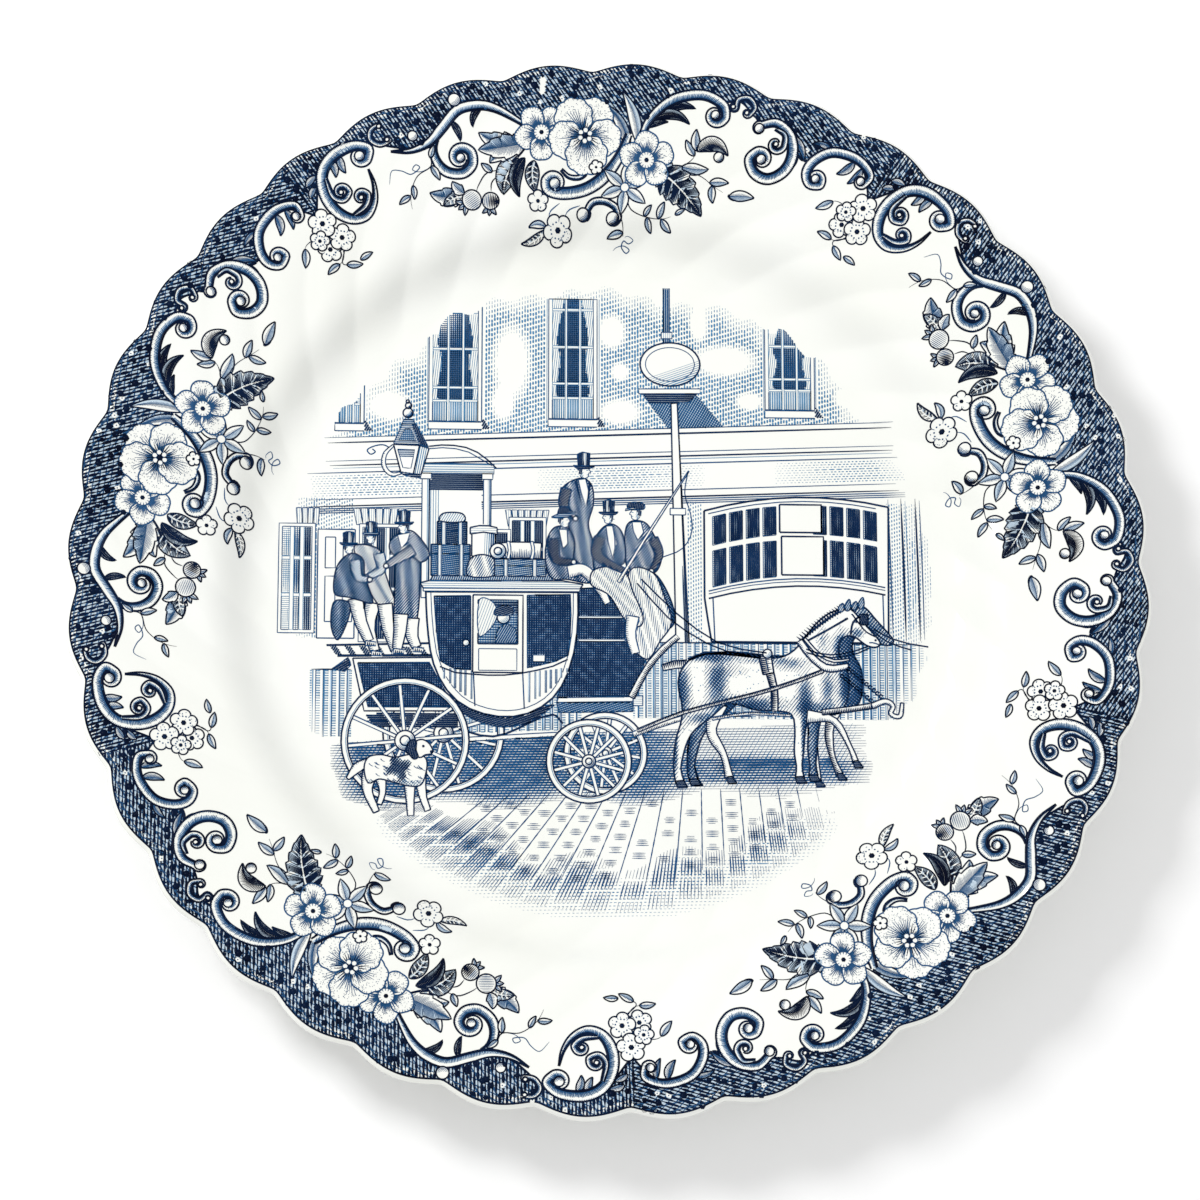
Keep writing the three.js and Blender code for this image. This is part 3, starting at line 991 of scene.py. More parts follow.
def border_scrolls(p):
    """The rococo scrolls that hold the ground back."""
    for root, tip, width, bend in (
        ((24.2, 117.4), (26.8, 112.9), 1.7, 0.12),
        ((25, 114.8), (25.9, 110.8), 1.3, 0.1), ((29.2, 118), (26.9, 117.4), 1.4, -0.1),
        ((32.2, 118), (31, 113.6), 1.9, 0.12), ((33.4, 117.6), (32.7, 112.8), 1.6, 0.1),
        ((-31, 120.8), (-31.5, 116.8), 1.8, 0.1), ((-29.8, 120.6), (-30.2, 116.5), 1.8, -0.1),
        ((-35, 118.6), (-33.2, 119.4), 1.6, 0.1), ((-35.4, 116), (-33.8, 117.6), 1.5, 0.1),
    ):
        leaf(p, P(*root), P(*tip), width, bend, tone=0.55, veins=False)
    for root, tip, width, bend, tone in (
        ((4.9, 106), (1.9, 116.4), 2.6, -0.1, 0.35), ((6.0, 107.6), (3.9, 119.4), 2.8, -0.08, 0.2),
        ((8.2, 114.6), (12.6, 117.2), 2.4, 0.16, 0.75), ((7.9, 113.6), (12.2, 113.4), 2.4, 0.2, 0.75),
        ((7.2, 111.4), (9.6, 113.2), 1.3, 0.1, 0.9), ((-16.4, 117.6), (-16, 112.6), 1.5, 0.1, 1.0),
        ((-12.4, 119), (-14.1, 114.9), 1.6, -0.18, 1.0),
    ):
        leaf(p, P(*root), P(*tip), width, bend, tone=tone, veins=False)
    scroll(p, [P(6.2, 107.5), P(7.4, 113.5), P(9.8, 118.4), P(13, 120.7), P(15.5, 119.5), P(16.2, 117)],
           2.3, end=P(15.0, 116.7))
    scroll(p, [P(17.2, 119.3), P(17.2, 121.4), P(18.3, 122.3), P(19.2, 120.6), P(18.9, 118.7)],
           1.2, start=P(16.8, 119.5), end=P(18.5, 118.9))
    scroll(p, [P(20.6, 117.4), P(22.2, 118.9), P(24.1, 117.2), P(25.2, 113.2), P(25.0, 109),
               P(23.5, 106), P(21.6, 106.2), P(20.4, 108.8), P(20.9, 111)], 2.5, start=P(20.4, 116.4),
           end=P(21.8, 109.8))
    scroll(p, [P(22.2, 117.6), P(23.5, 116.9), P(23.9, 114.6)], 1.3, end=P(22.9, 114.2), tone=0.8)
    scroll(p, [P(34.6, 114.6), P(34.6, 117.2), P(32.4, 118.9), P(29.6, 117.8), P(28, 114.5),
               P(27.6, 111), P(28.5, 108.7), P(29.8, 109.3)], 2.2, dark=1, start=P(34.0, 114.8),
           end=P(29.0, 110.4))
    scroll(p, [P(-27.1, 117.0), P(-26.5, 119.1), P(-28, 121.2), P(-30.6, 121.3), P(-32.6, 119.2),
               P(-33.7, 115), P(-33.7, 110.5), P(-32.6, 106.9), P(-30.7, 105.7), P(-28.9, 107.6),
               P(-27.9, 111), P(-27.6, 114.8)], 2.6, dark=1, start=P(-27.8, 118.4), ends=(0.5, 0.02))
    scroll(p, [P(-32.6, 117.8), P(-33, 113.6), P(-32.2, 111.5), P(-31.1, 112.2)], 1.3, dark=1,
           end=P(-31.9, 113.3))
    scroll(p, [P(-32, 107.3), P(-30.2, 107.8), P(-29.2, 109.5)], 1.3, dark=1, end=P(-30.1, 109.9))
    scroll(p, [P(-24.2, 122.9), P(-25.3, 122.5), P(-25.8, 120.6), P(-25.1, 118.6), P(-23.9, 118.4)],
           1.2, dark=1, start=P(-24.3, 122.5), end=P(-24.1, 118.9))
    scroll(p, [P(-17.6, 117), P(-19.3, 113.5), P(-19.6, 110), P(-18.8, 106.9), P(-17, 105.4),
               P(-15.5, 106.6), P(-15.1, 109)], 2.3, dark=1, end=P(-16.6, 109.0), ends=(0.3, 0.6))
    scroll(p, [P(-24.3, 116.1), P(-22, 114.4), P(-19.6, 114.7), P(-17.5, 117), P(-15.3, 119.7),
               P(-13, 119.6), P(-11, 118), P(-9, 114.9), P(-7.6, 112.4)], 2.3, ends=(0.02, 0.3),
           tone=0.6)
    bead(p, P(-21.2, 117.4), 1.2, 0.3)
    bead(p, P(-15.3, 122.2), 1.5, 0.35)
    scroll(p, [P(4.9, 109.5), P(3.7, 104), P(1.8, 99.6), P(-0.8, 96.8), P(-3.8, 96.2), P(-6, 97.4),
               P(-6.3, 99.3)], 2.8, end=P(-5.1, 98.8))
    scroll(p, [P(-0.7, 92.2), P(0.2, 93.9), P(1.9, 94.1), P(3.4, 92.9), P(4.0, 91)], 1.4,
           start=P(-1.5, 91.4), end=P(3.1, 90.5))
    bead(p, P(-1.4, 91.2), 1.45, 0.7)
    bead(p, P(3.1, 90.3), 1.5, 0.9)
    scroll(p, [P(-4, 101.8), P(-3, 100), P(-1.6, 99.6), P(-0.7, 100.7)], 1.0, end=P(-1.3, 101),
           tone=0.7)


def border_leaves(p):
    """Leaves, sprigs and tendrils that hang from the scrolls towards the well."""
    sprig(p, [P(11.5, 102.5), P(13.3, 105.5), P(13.7, 108.3)],
          [(0.75, 55, 4.3), (0.92, 20, 5.0), (0.2, -35, 6.5)])
    leaf(p, P(13.7, 107.6), P(17.7, 108.2), 3.6, 0.3, tone=0.6, veins=False)
    bead(p, P(16.6, 107.4), 1.2, 0.6)
    sprig(p, [P(11, 102.3), P(14.5, 102.3), P(17, 100.6), P(19.4, 99.2)],
          [(0.62, 38, 4.6), (0.68, -52, 4.2), (0.97, 10, 3.0), (0.99, 30, 6.0)])
    sprig(p, [P(5.2, 94), P(5.9, 92.2), P(8, 91.1), P(10.6, 91.2), P(12.8, 92.8)],
          [(0.4, 70, 3.0), (0.45, -60, 3.4), (0.65, 70, 3.9), (0.7, -55, 3.8), (0.95, 10, 2.6)])
    sprig(p, [P(4.1, 91.6), P(4.7, 89), P(4.9, 86)], [(0.75, -75, 4.0)])
    loop = smooth([P(4.9, 86.4), P(5.6, 86.9), P(6.5, 86.2), P(5.8, 85.4), P(5.0, 85.9), P(4.7, 84.6),
                   P(5.5, 83.4), P(6.0, 84.2), P(5.0, 84.9), P(3.8, 84.4), P(3.2, 83.4)], 6)
    p.taper(loop, 0.26)
    sprig(p, [P(-20.1, 112), P(-20.5, 109.4), P(-22.6, 108.4), P(-24.3, 105.2), P(-25, 101.5),
              P(-24.6, 100.2)], [(0.05, 150, 3.2), (0.16, 60, 3.8), (0.55, 25, 3.2), (0.7, -50, 3.4)])
    curl = smooth([P(-20.7, 109.2), P(-22, 109.1), P(-22.8, 110.2), P(-22.2, 111), P(-21.9, 110),
                   P(-23.2, 109.4), P(-24.1, 111), P(-25.2, 112), P(-26, 110), P(-26.3, 109)], 6)
    p.taper(curl, 0.24)
    leaf(p, P(-17.6, 100.6), P(-21.9, 103.9), 4.6, 0.1, teeth=3, tone=0.5)
    leaf(p, P(-17.4, 100.2), P(-20.9, 99.8), 3.2, -0.1, teeth=2, tone=0.7)
    leaf(p, P(-17.6, 100.9), P(-18.6, 104.4), 2.6, 0.1, teeth=2, tone=0.4)
    for stem in ([P(-12.2, 104), P(-14, 103.9), P(-15.4, 101.8), P(-16, 100.4)],
                 [P(-12.6, 102.8), P(-13.6, 101.6), P(-14, 99.6)]):
        p.taper(smooth(stem, 8), 0.3)
    leaf(p, P(-13.2, 103.9), P(-14.3, 106.4), 1.6, tone=0.4)
    rosehip(p, P(-16.9, 99.0), 2.3, np.exp(1j * math.radians(215)), 0.45)
    rosehip(p, P(-14.4, 97.6), 2.0, np.exp(1j * math.radians(262)), 0.95)
    leaf(p, P(-9.4, 105.5), P(-12.4, 98.2), 5.6, -0.12, tone=0.95)
    leaf(p, P(-8.6, 105.5), P(-10.3, 96.8), 3.2, -0.18, tone=0.95, veins=False)
    leaf(p, P(-7.4, 104.5), P(-7.9, 97.2), 3.4, -0.1, tone=0.95)
    leaf(p, P(-8.2, 108.5), P(-13.6, 113.4), 5.4, 0.1, teeth=4, tone=0.4)
    leaf(p, P(-8.2, 108), P(-13.2, 106), 5.2, -0.12, teeth=4, tone=0.4)
    leaf(p, P(-8, 109), P(-14.2, 109.6), 5.6, 0.02, teeth=4, tone=0.45)
    leaf(p, P(9.0, 101.8), P(16.2, 93.2), 8.2, 0.06, teeth=7, tone=0.95, blunt=0.62)
    for stem in ([P(-4.6, 94.2), P(-6.2, 92.6), P(-6.6, 91)],
                 [P(-1.6, 93.2), P(-3.4, 92.4), P(-4.2, 91)]):
        p.taper(smooth(stem, 8), 0.28)
    leaf(p, P(-7.4, 88.8), P(-11.4, 87.1), 2.0, 0.12, tone=0.6)
    leaf(p, P(-7.2, 89.4), P(-9.8, 90), 1.7, -0.15, tone=0.3)
    sprig(p, [P(-35.8, 101.8), P(-37, 99.8), P(-36.2, 98.6), P(-34.4, 98)],
          [(0.5, 0, 3.9), (0.95, 5, 3.4)])
    sprig(p, [P(34.6, 108), P(32.8, 108.2), P(31.8, 107)], [(0.8, 12, 4.4)])
    sprig(p, [P(36.4, 102.6), P(35.4, 100.4), P(34, 99.8)], [(0.8, -5, 3.8)])


def border_flowers(p):
    """The blossoms of the two sprays."""
    star_flower(p, P(4.7, 97.4), 6.2, turn=0.35)
    flower(p, P(7.4, 104), 6.4, turn=0.3)
    flower(p, P(-6.0, 110.8), 6.3, turn=0.9)
    pansy(p, P(-0.6, 109.2), 9.6)
    blossom(p, P(-7.8, 95.3), 2.5, 0.3, dots=False)
    blossom(p, P(-5.4, 88.4), 3.5, 0.8)
    blossom(p, P(0.7, 101.8), 1.7, 0.5, dots=False)
    for d, r, size in ((-37.2, 104, 3.0), (-35, 104.6, 3.2), (-36, 109.8, 3.4), (-37.6, 107, 2.4)):
        blossom(p, P(d, r), size, d)


def engraved_border(turn, gap=False):
    """All the ink of one length of border, drawn with its middle on +Y. A gap leaves small flaws."""
    step = 2 * math.pi / BORDER_LENGTHS
    p = Print(complex(-84, 72), complex(84, 130), (0, step, -step))
    border_ground(p, turn)
    border_scrolls(p)
    border_leaves(p)
    if gap:
        chip = np.array([-0.7 - 1.9j, 0.5 - 1.8j, 0.9 + 1.7j, 0.1 + 2.2j, -0.6 + 1.6j])
        p.cover(P(-5.2, 121.3) + chip)
        p.cover(ring(P(-5.7, 117.6), 0.45, 9))
    border_flowers(p)
    return p.visible_strokes(), p.visible_dots()


# ---------------------------------------------------------------- the scene in the well
# A generic coach and pair before an inn, in a round vignette. Points are (x, y) pairs in mm.

RISE = 0.04


def line_of(points, rounded=True):
    """A path through (x, y) pairs."""
    path = np.array([complex(*q) for q in points])
    return smooth(path, 6) if rounded and len(path) > 2 else path


def rule(p, points, width=0.2, rounded=True, form=None):
    """A drawn line through (x, y) pairs."""
    path = line_of(points, rounded)
    if form:
        p.taper(path, width, form)
    else:
        p.stroke(path, width)


def block(p, points, tone=0, angle=0, pitch=0.55, cross=0, line=0.25, rounded=False, strength=None):
    """A flat shape through (x, y) pairs, hatched one way, or two where cross is a tone too."""
    corners = np.array([complex(*q) for q in points])
    outline = smooth(corners, 6, closed=True) if rounded else corners
    shape = p.cover(outline)
    if callable(tone) or tone:
        p.wash(shape, outline, angle, tone)
        p.shade(shape, outline, angle, pitch, tone, strength=strength)
    if callable(cross) or cross:
        p.shade(shape, outline, angle + 90, pitch, cross, strength=strength)
    if line:
        p.contour(outline, line)
    return shape, outline


def box(x0, y0, x1, y1):
    """The corners of an upright rectangle."""
    return [(x0, y0), (x1, y0), (x1, y1), (x0, y1)]


def limb(p, points, widths, tone=0.5, line=0.25, fill=0):
    """A rounded band along (x, y) pairs, shaded from its right side by tone, or hatched by fill."""
    spine = line_of(points)
    spine = resampled(spine, max(int(lengths_along(spine)[-1] / 0.4), 4))
    share = np.linspace(0, 1, len(spine))
    half = np.interp(share, np.linspace(0, 1, len(widths)), widths) / 2
    outline, left, right = outline_of(spine, half)
    shape = p.cover(outline)
    if fill:
        p.shade(shape, outline, 40, 0.5, fill)
    for i in range(1, len(spine) - 1):
        reach = tone * (0.8 + 0.4 * p.random.random())
        path = right[i] + (left[i] - right[i]) * reach * np.array([0, 0.5, 1])
        p.taper(path, 0.15 + 0.3 * tone, fade, only_inside=True)
    p.contour(outline, line)


def vignette(z):
    """How strongly the scene shows: 1 inside, fading to 0 at its ragged rim."""
    angle = np.angle(z)
    rim = 78 + 1.1 * np.sin(7 * angle + 1) + 0.9 * np.sin(17 * angle) + 0.9 * np.sin(53 * angle)
    return np.clip((rim - np.abs(z)) / 6, 0, 1)


def level(x, y):
    """The height of the inn's level lines, which climb a little to the right."""
    return y + RISE * x


def course(p, y, width, x0, x1):
    """One moulding line of the inn, thinning out at its ends."""
    x = np.linspace(x0, x1, 24)
    p.taper(x + 1j * level(x, y), width, lambda t: swell(t) ** 0.4)


def wall_tone(z):
    """The grain of the upper wall, with bright clouds left in it: x, y and a radius each way."""
    clouds = (
        (-52, 45, 4.5, 3.6), (-23, 56, 4, 8.5), (-25, 46, 2.5, 4), (1, 64, 3, 4), (3, 44, 4.5, 3),
        (28, 57, 7, 3.6), (22, 66, 2, 4), (57, 48, 2.4, 2), (34, 47, 3, 2), (3, 54, 2, 2),
    )
    tone = np.full(np.shape(z), 0.68)
    for x, y, rx, ry in clouds:
        reach = ((z.real - x) / rx) ** 2 + ((z.imag - y) / ry) ** 2
        tone = tone * np.clip((reach - 0.6) / 1.2, 0, 1)
    return tone * vignette(z + 3j)


def dashed(tone, period, share=0.62):
    """A tone function broken into dashes, out of step from line to line."""
    def broken(z):
        phase = 7.13 * np.floor(z.real[0] * 9.7) + 3.1 * np.floor(z.imag[0] * 9.7)
        beat = (lengths_along(z) / period + phase % 1) % 1
        return np.where(beat < share, tone(z), 0)

    return broken


def sash_window(p, x0, y0, x1, y1, rows):
    """A tall sash window of three columns of panes, with drawn curtains and a sill."""
    block(p, box(x0 - 1.5, y0 - 0.4, x1 + 1.5, y1), 0.3, 90, 0.5, line=0)
    block(p, box(x0 - 0.9, y0, x1 + 0.9, y1), line=0.22)
    block(p, box(x0, y0, x1, y1), lambda z: 0.92 * vignette(z) ** 0.5, 90, 0.5, cross=0.35, line=0.2,
          strength=0.7)
    width = x1 - x0
    for side, x in ((1, x0), (-1, x1)):
        low = rows[0]
        hem = [(0.3, y1), (0.12, 0.6 * y1 + 0.4 * low), (0.2, 0.4 * y1 + 0.6 * low), (0.1, low + 2),
               (0.16, low)]
        edge = line_of([(x + side * share * width, y) for share, y in hem])
        curtain = [(z.real, z.imag) for z in edge] + [(x, low), (x, y1)]
        block(p, curtain, lambda z: 0.25 * vignette(z), 84, 0.5, line=0.16)
    block(p, box(x0, y0, x1, rows[0]), 0.45, 90, 0.55)
    for y in rows:
        block(p, box(x0, y - 0.25, x1, y + 0.3), line=0.15)
    for share in (0.34, 0.67):
        x = x0 + share * width
        block(p, box(x - 0.25, y0, x + 0.25, y1), line=0.15)
    block(p, [(x0 - 1, y0 - 2), (x1 + 1, y0 - 2), (x1 + 1, y0 - 0.2), (x0 - 1, y0 - 0.2)], line=0.25)
    block(p, [(x1 + 1, y0 - 2), (x1 + 3.2, y0 - 2), (x1 + 1.4, y0 + 0.6), (x1 + 1, y0 + 0.6)], 0.8, 60,
          0.5, line=0)


def inn_upper(p):
    """The upper wall with its windows, the sign bracket and the blank fascia."""
    block(p, [(-68, level(-68, 39.5)), (70, level(70, 39.5)), (70, 78), (-68, 78)], line=0)
    outline = np.array([-68 + 36j, 72 + 42j, 72 + 78j, -68 + 78j])
    p.shade(p.shapes, outline, 90, 0.66, dashed(wall_tone, 1.15, 0.7), step=0.2, strength=0.4)
    for x0, y0, x1, y1, rows in (
        (-41.8, 41.3, -31, 71.5, (46.3, 49.6, 59.2, 68.4)),
        (-13.2, 42.2, -3.4, 72, (47.3, 50.9, 60, 69.3)), (38.7, 45, 48.8, 67, (49.8, 52.6, 60.8, 66)),
        (-64, 40.6, -59, 50, (45.2, 46.2)),
    ):
        sash_window(p, x0, y0, x1, y1, rows)
    rim = [76.5 * np.exp(1j * a) + 1.5j * math.sin(40 * a) for a in np.linspace(2.6, 0.5, 80)]
    sky = np.r_[-90 + 90j, -90 + 38j, rim, 90 + 38j, 90 + 90j]
    p.cover(sky)
    p.shade(p.shapes, outline, 90, 0.66, dashed(lambda z: wall_tone(z) * 0.8, 1.15), step=0.2,
            strength=0.4)
    shadow = [(8, 48.6), (21, 49), (27.9, level(28, 39.4)), (14.5, level(14, 39.4))]
    block(p, shadow, 0.62, 60, 0.55, cross=0.4, line=0)
    block(p, box(13.4, 60, 14.9, 75), 0.7, 90, 0.5)
    block(p, box(12.9, 62.4, 15.5, 64), 0.2, 90, 0.5)
    board = [(15 + 7.2 * math.cos(a), 56 + 5.4 * math.sin(a)) for a in np.arange(16) * math.pi / 8]
    block(p, board, lambda z: 0.5 * np.clip((-z.imag + 56) / 6 + (z.real - 15) / 16, 0, 1), 20, 0.5,
          rounded=True, line=0.4)
    inner = [(15 + 5.9 * math.cos(a), 56 + 4.2 * math.sin(a)) for a in np.arange(16) * math.pi / 8]
    rule(p, inner + inner[:1], 0.2)
    block(p, [(8.6, 48.6), (21.5, 48.8), (19.5, 46.6), (10, 46.4)], 0.85, 0, 0.5)
    block(p, [(7.5, 48.6), (22.2, 48.8), (22.2, 50), (7.5, 49.8)])
    fascia = [(-72, level(-72, 32)), (71, level(71, 32)), (69, level(69, 39.4)),
              (-68, level(-68, 39.4))]
    block(p, fascia, line=0)
    for y, width in ((39.5, 0.25), (38.2, 0.45), (33.7, 0.22), (32.6, 0.4), (31.9, 0.18)):
        course(p, y, width, -70 + y % 3, 69 + y % 2)


def lamp(p):
    """A street lantern on a scrolled bracket."""
    rule(p, [(-42.5, 35), (-38, 35.4), (-33, 34.6), (-29.5, 32.6), (-26.5, 29.8)], 0.35)
    rule(p, [(-42.5, 34.4), (-38, 34.7), (-33.4, 33.8), (-30.2, 32), (-27.5, 30.4)], 0.25)
    rule(p, [(-51.5, 34.2), (-53.2, 35.2), (-55.3, 35), (-57.2, 34), (-56.4, 32.9), (-55.3, 33.5),
             (-56, 34.2)], 0.3)
    limb(p, [(-51, 35.2), (-53, 33), (-53.2, 30), (-51.4, 28), (-48.8, 28.5)],
         (0.5, 0.9, 1.0, 0.9, 0.5), 0.5)
    for x, y, r in ((-47.6, 43.2, 1.2), (-47.5, 45, 0.75), (-47.7, 46, 0.4)):
        bead(p, complex(x, y), r, 0.9)
    block(p, [(-48.6, 41.6), (-46.4, 41.6), (-45.7, 40.2), (-49.2, 40.2)], 0.6, 0, 0.5)
    block(p, [(-46.6, 40.4), (-45.6, 40.4), (-42.6, 34.7), (-44.8, 35.4)], 0.9, 70, 0.45)
    block(p, [(-49, 40.4), (-46.6, 40.4), (-44.8, 35.4), (-51, 35.6)], 0.5, 0, 0.5)
    block(p, [(-48.3, 39.2), (-47, 39.2), (-45.6, 36.3), (-49.8, 36.4)], 0.6, 0, 0.45, cross=0.4,
          line=0.2)
    block(p, [(-51, 35.4), (-44.8, 35.2), (-46.2, 28.2), (-49.2, 28.6)], line=0.35)
    block(p, [(-44.8, 35.2), (-42.5, 34.4), (-44.4, 28), (-46.2, 28.2)], 0.4, 80, 0.5, line=0.35)
    block(p, [(-50, 34.2), (-45.9, 34.1), (-46.8, 29.5), (-48.7, 29.7)], lambda z: 0.5 * (z.imag > 32),
          0, 0.5, line=0.2)
    block(p, [(-49.5, 28.6), (-44.2, 28), (-44.8, 27.2), (-48.5, 27.8)], 0.8, 0, 0.5)


def inn_lower(p):
    """The lower wall: porch, doors, small windows and the bow window with its blank boards."""
    wall = [(-77, -37), (78, -30), (76, level(76, 31)), (-73, level(-73, 31))]
    shape, _ = block(p, wall, line=0)
    outline = line_of(wall, rounded=False)

    def frieze(z):
        y = z.imag - RISE * z.real
        cloud = 0.5 + 0.5 * np.sin(z.real / 9 + 1.2)
        return 0.42 * cloud * (y > 25) * (y < 30.6) * vignette(z)

    def soffit(z):
        y = z.imag - RISE * z.real
        return 0.5 * (y > 20.6) * (y < 22.2) * vignette(z)

    def jamb(z):
        x, y = z.real, z.imag
        beside = (x > 66.5) * (x < 77) + (x > 18.6) * (x < 22.5) + (x < -60) * (y > -12)
        return 0.45 * beside * (y < 22) * vignette(z)

    p.shade(shape, outline, 2.3, 0.6, dashed(frieze, 0.9), step=0.2, strength=0.4)
    p.shade(shape, outline, 2.3, 0.5, soffit, step=0.6)
    p.shade(shape, outline, 90, 0.6, dashed(jamb, 1.0), step=0.2, strength=0.4)
    for y, width in ((30.8, 0.32), (24.3, 0.25), (22.6, 0.4), (22.1, 0.2)):
        course(p, y, width, -73, 71)
    # Flat arches of stones over the windows.
    bottom, top = 15.6, 19.6
    for x0, x1, stones in ((-73.5, -68.6, 4), (-59.5, -48.8, 7), (-23.6, -14.6, 7)):
        for k in range(stones):
            a, b = x0 + (x1 - x0) * k / stones, x0 + (x1 - x0) * (k + 1) / stones
            lean = ((a + b) - (x0 + x1)) * 0.09
            block(p, [(a, bottom), (b, bottom), (b + lean, top), (a + lean, top)], 0.15, 90, 0.5,
                  line=0.2)
    for x0, y0, x1, y1, columns, rows in (
        (-77, -10, -70, 15, 3, (7.4, -1.6)), (-58, -12, -49, 15, 3, (8, 0)),
        (-22.6, 4, -15.4, 17, 3, (10,)), (-27, 4, -23.8, 14, 1, ()),
    ):
        block(p, box(x0 - 0.8, y0 - 0.8, x1 + 0.8, y1 + 0.8), line=0.2)
        block(p, box(x0, y0, x1, y1), lambda z: 0.85 * vignette(z), 90, 0.5, cross=0.2, line=0.2)
        for y in rows:
            block(p, box(x0, y - 0.4, x1, y + 0.4), line=0.15)
        for k in range(1, columns):
            x = x0 + (x1 - x0) * k / columns
            block(p, box(x - 0.45, y0, x + 0.45, y1), line=0.15)
    block(p, box(-68.6, -12, -59.8, 14.4), line=0.3)
    for y0, y1 in ((5, 12.5), (-8, 3)):
        block(p, box(-66.8, y0, -64.4, y1), line=0.25)
        block(p, box(-62.6, y0, -60.4, y1), line=0.25)
    # The porch: two columns under a dark lintel.
    block(p, box(-43, 24.5, -29, 28.6), 0.85, 0, 0.5, line=0.2)
    block(p, box(-43, 8, -30, 24.5), lambda z: 0.25 * (z.real < -40), 90, 0.6, line=0)
    block(p, box(-45.2, 28.4, -27, 30.8), 0.3, 0, 0.6)
    for x in (-43.2, -28.6):
        block(p, box(x - 1.3, 27, x + 1.3, 28.4))
        block(p, box(x - 0.9, -2, x + 0.9, 27), lambda z, x=x: 0.8 * np.clip((z.real - x) / 0.9, 0, 1),
              90, 0.4)
    # The bow window: a shallow arch of panes round a blank board, over a blank band.
    arch = line_of([(x, 20.8 + bow_rise(x)) for x in range(23, 68, 4)])
    block(p, [(z.real, z.imag) for z in arch] + [(66.6, -12), (24.6, -12), (23, -2)], line=0.45)
    for x0 in (25, 29, 33, 37, 49, 53, 57, 61):
        for y0, y1 in ((11.8, 18.8), (1.6, 10.4)):
            corners = [(x, y + bow_rise(x)) for x, y in box(x0, y0, x0 + 3.1, y1)]
            block(p, corners, lambda z: 0.97 - 0.3 * (np.sin(z.real * 2 + z.imag) > 0.9), 90, 0.5,
                  cross=0.3, line=0.2)
    rule(p, [(x, 19.8 + bow_rise(x)) for x in range(24, 67, 4)], 0.25)
    block(p, box(41, 14.8, 51, 21.6), line=0.4)
    block(p, box(41.4, 4.4, 51.4, 13.8), line=0.4)
    for y, width in ((0.9, 0.3), (0.2, 0.2), (-0.9, 0.4)):
        rule(p, [(x, y + bow_rise(x)) for x in range(24, 68, 3)], width)
    rule(p, [(25, -1.5), (25.4, -12)], 0.3)
    rule(p, [(65.4, 0), (65.6, -12)], 0.3)
    # The post of the sign, dark on its right.
    post = [(15.2, 46.3), (16.7, 46.3), (19.4, -15), (16.2, -15)]
    block(p, post, lambda z: 0.8 * (z.real > 16.6 + 0.03 * (46 - z.imag)), 92, 0.4, line=0.35)
    block(p, box(14.9, 18.8, 18.6, 20.4))
    # The pilaster at the far right.
    for x, width in ((70, 0.5), (71, 0.2), (73.4, 0.45), (74.4, 0.25), (66.9, 0.3)):
        rule(p, [(x, 24), (x + 0.5, 6), (x + 0.8, -12)], width, form=lambda t: swell(t) ** 0.5)


def bow_rise(x):
    """How far the bow window's level lines stand above their left ends."""
    return 2.6 - 2.6 * ((x - 45) / 21) ** 2 + 0.03 * (x - 45)


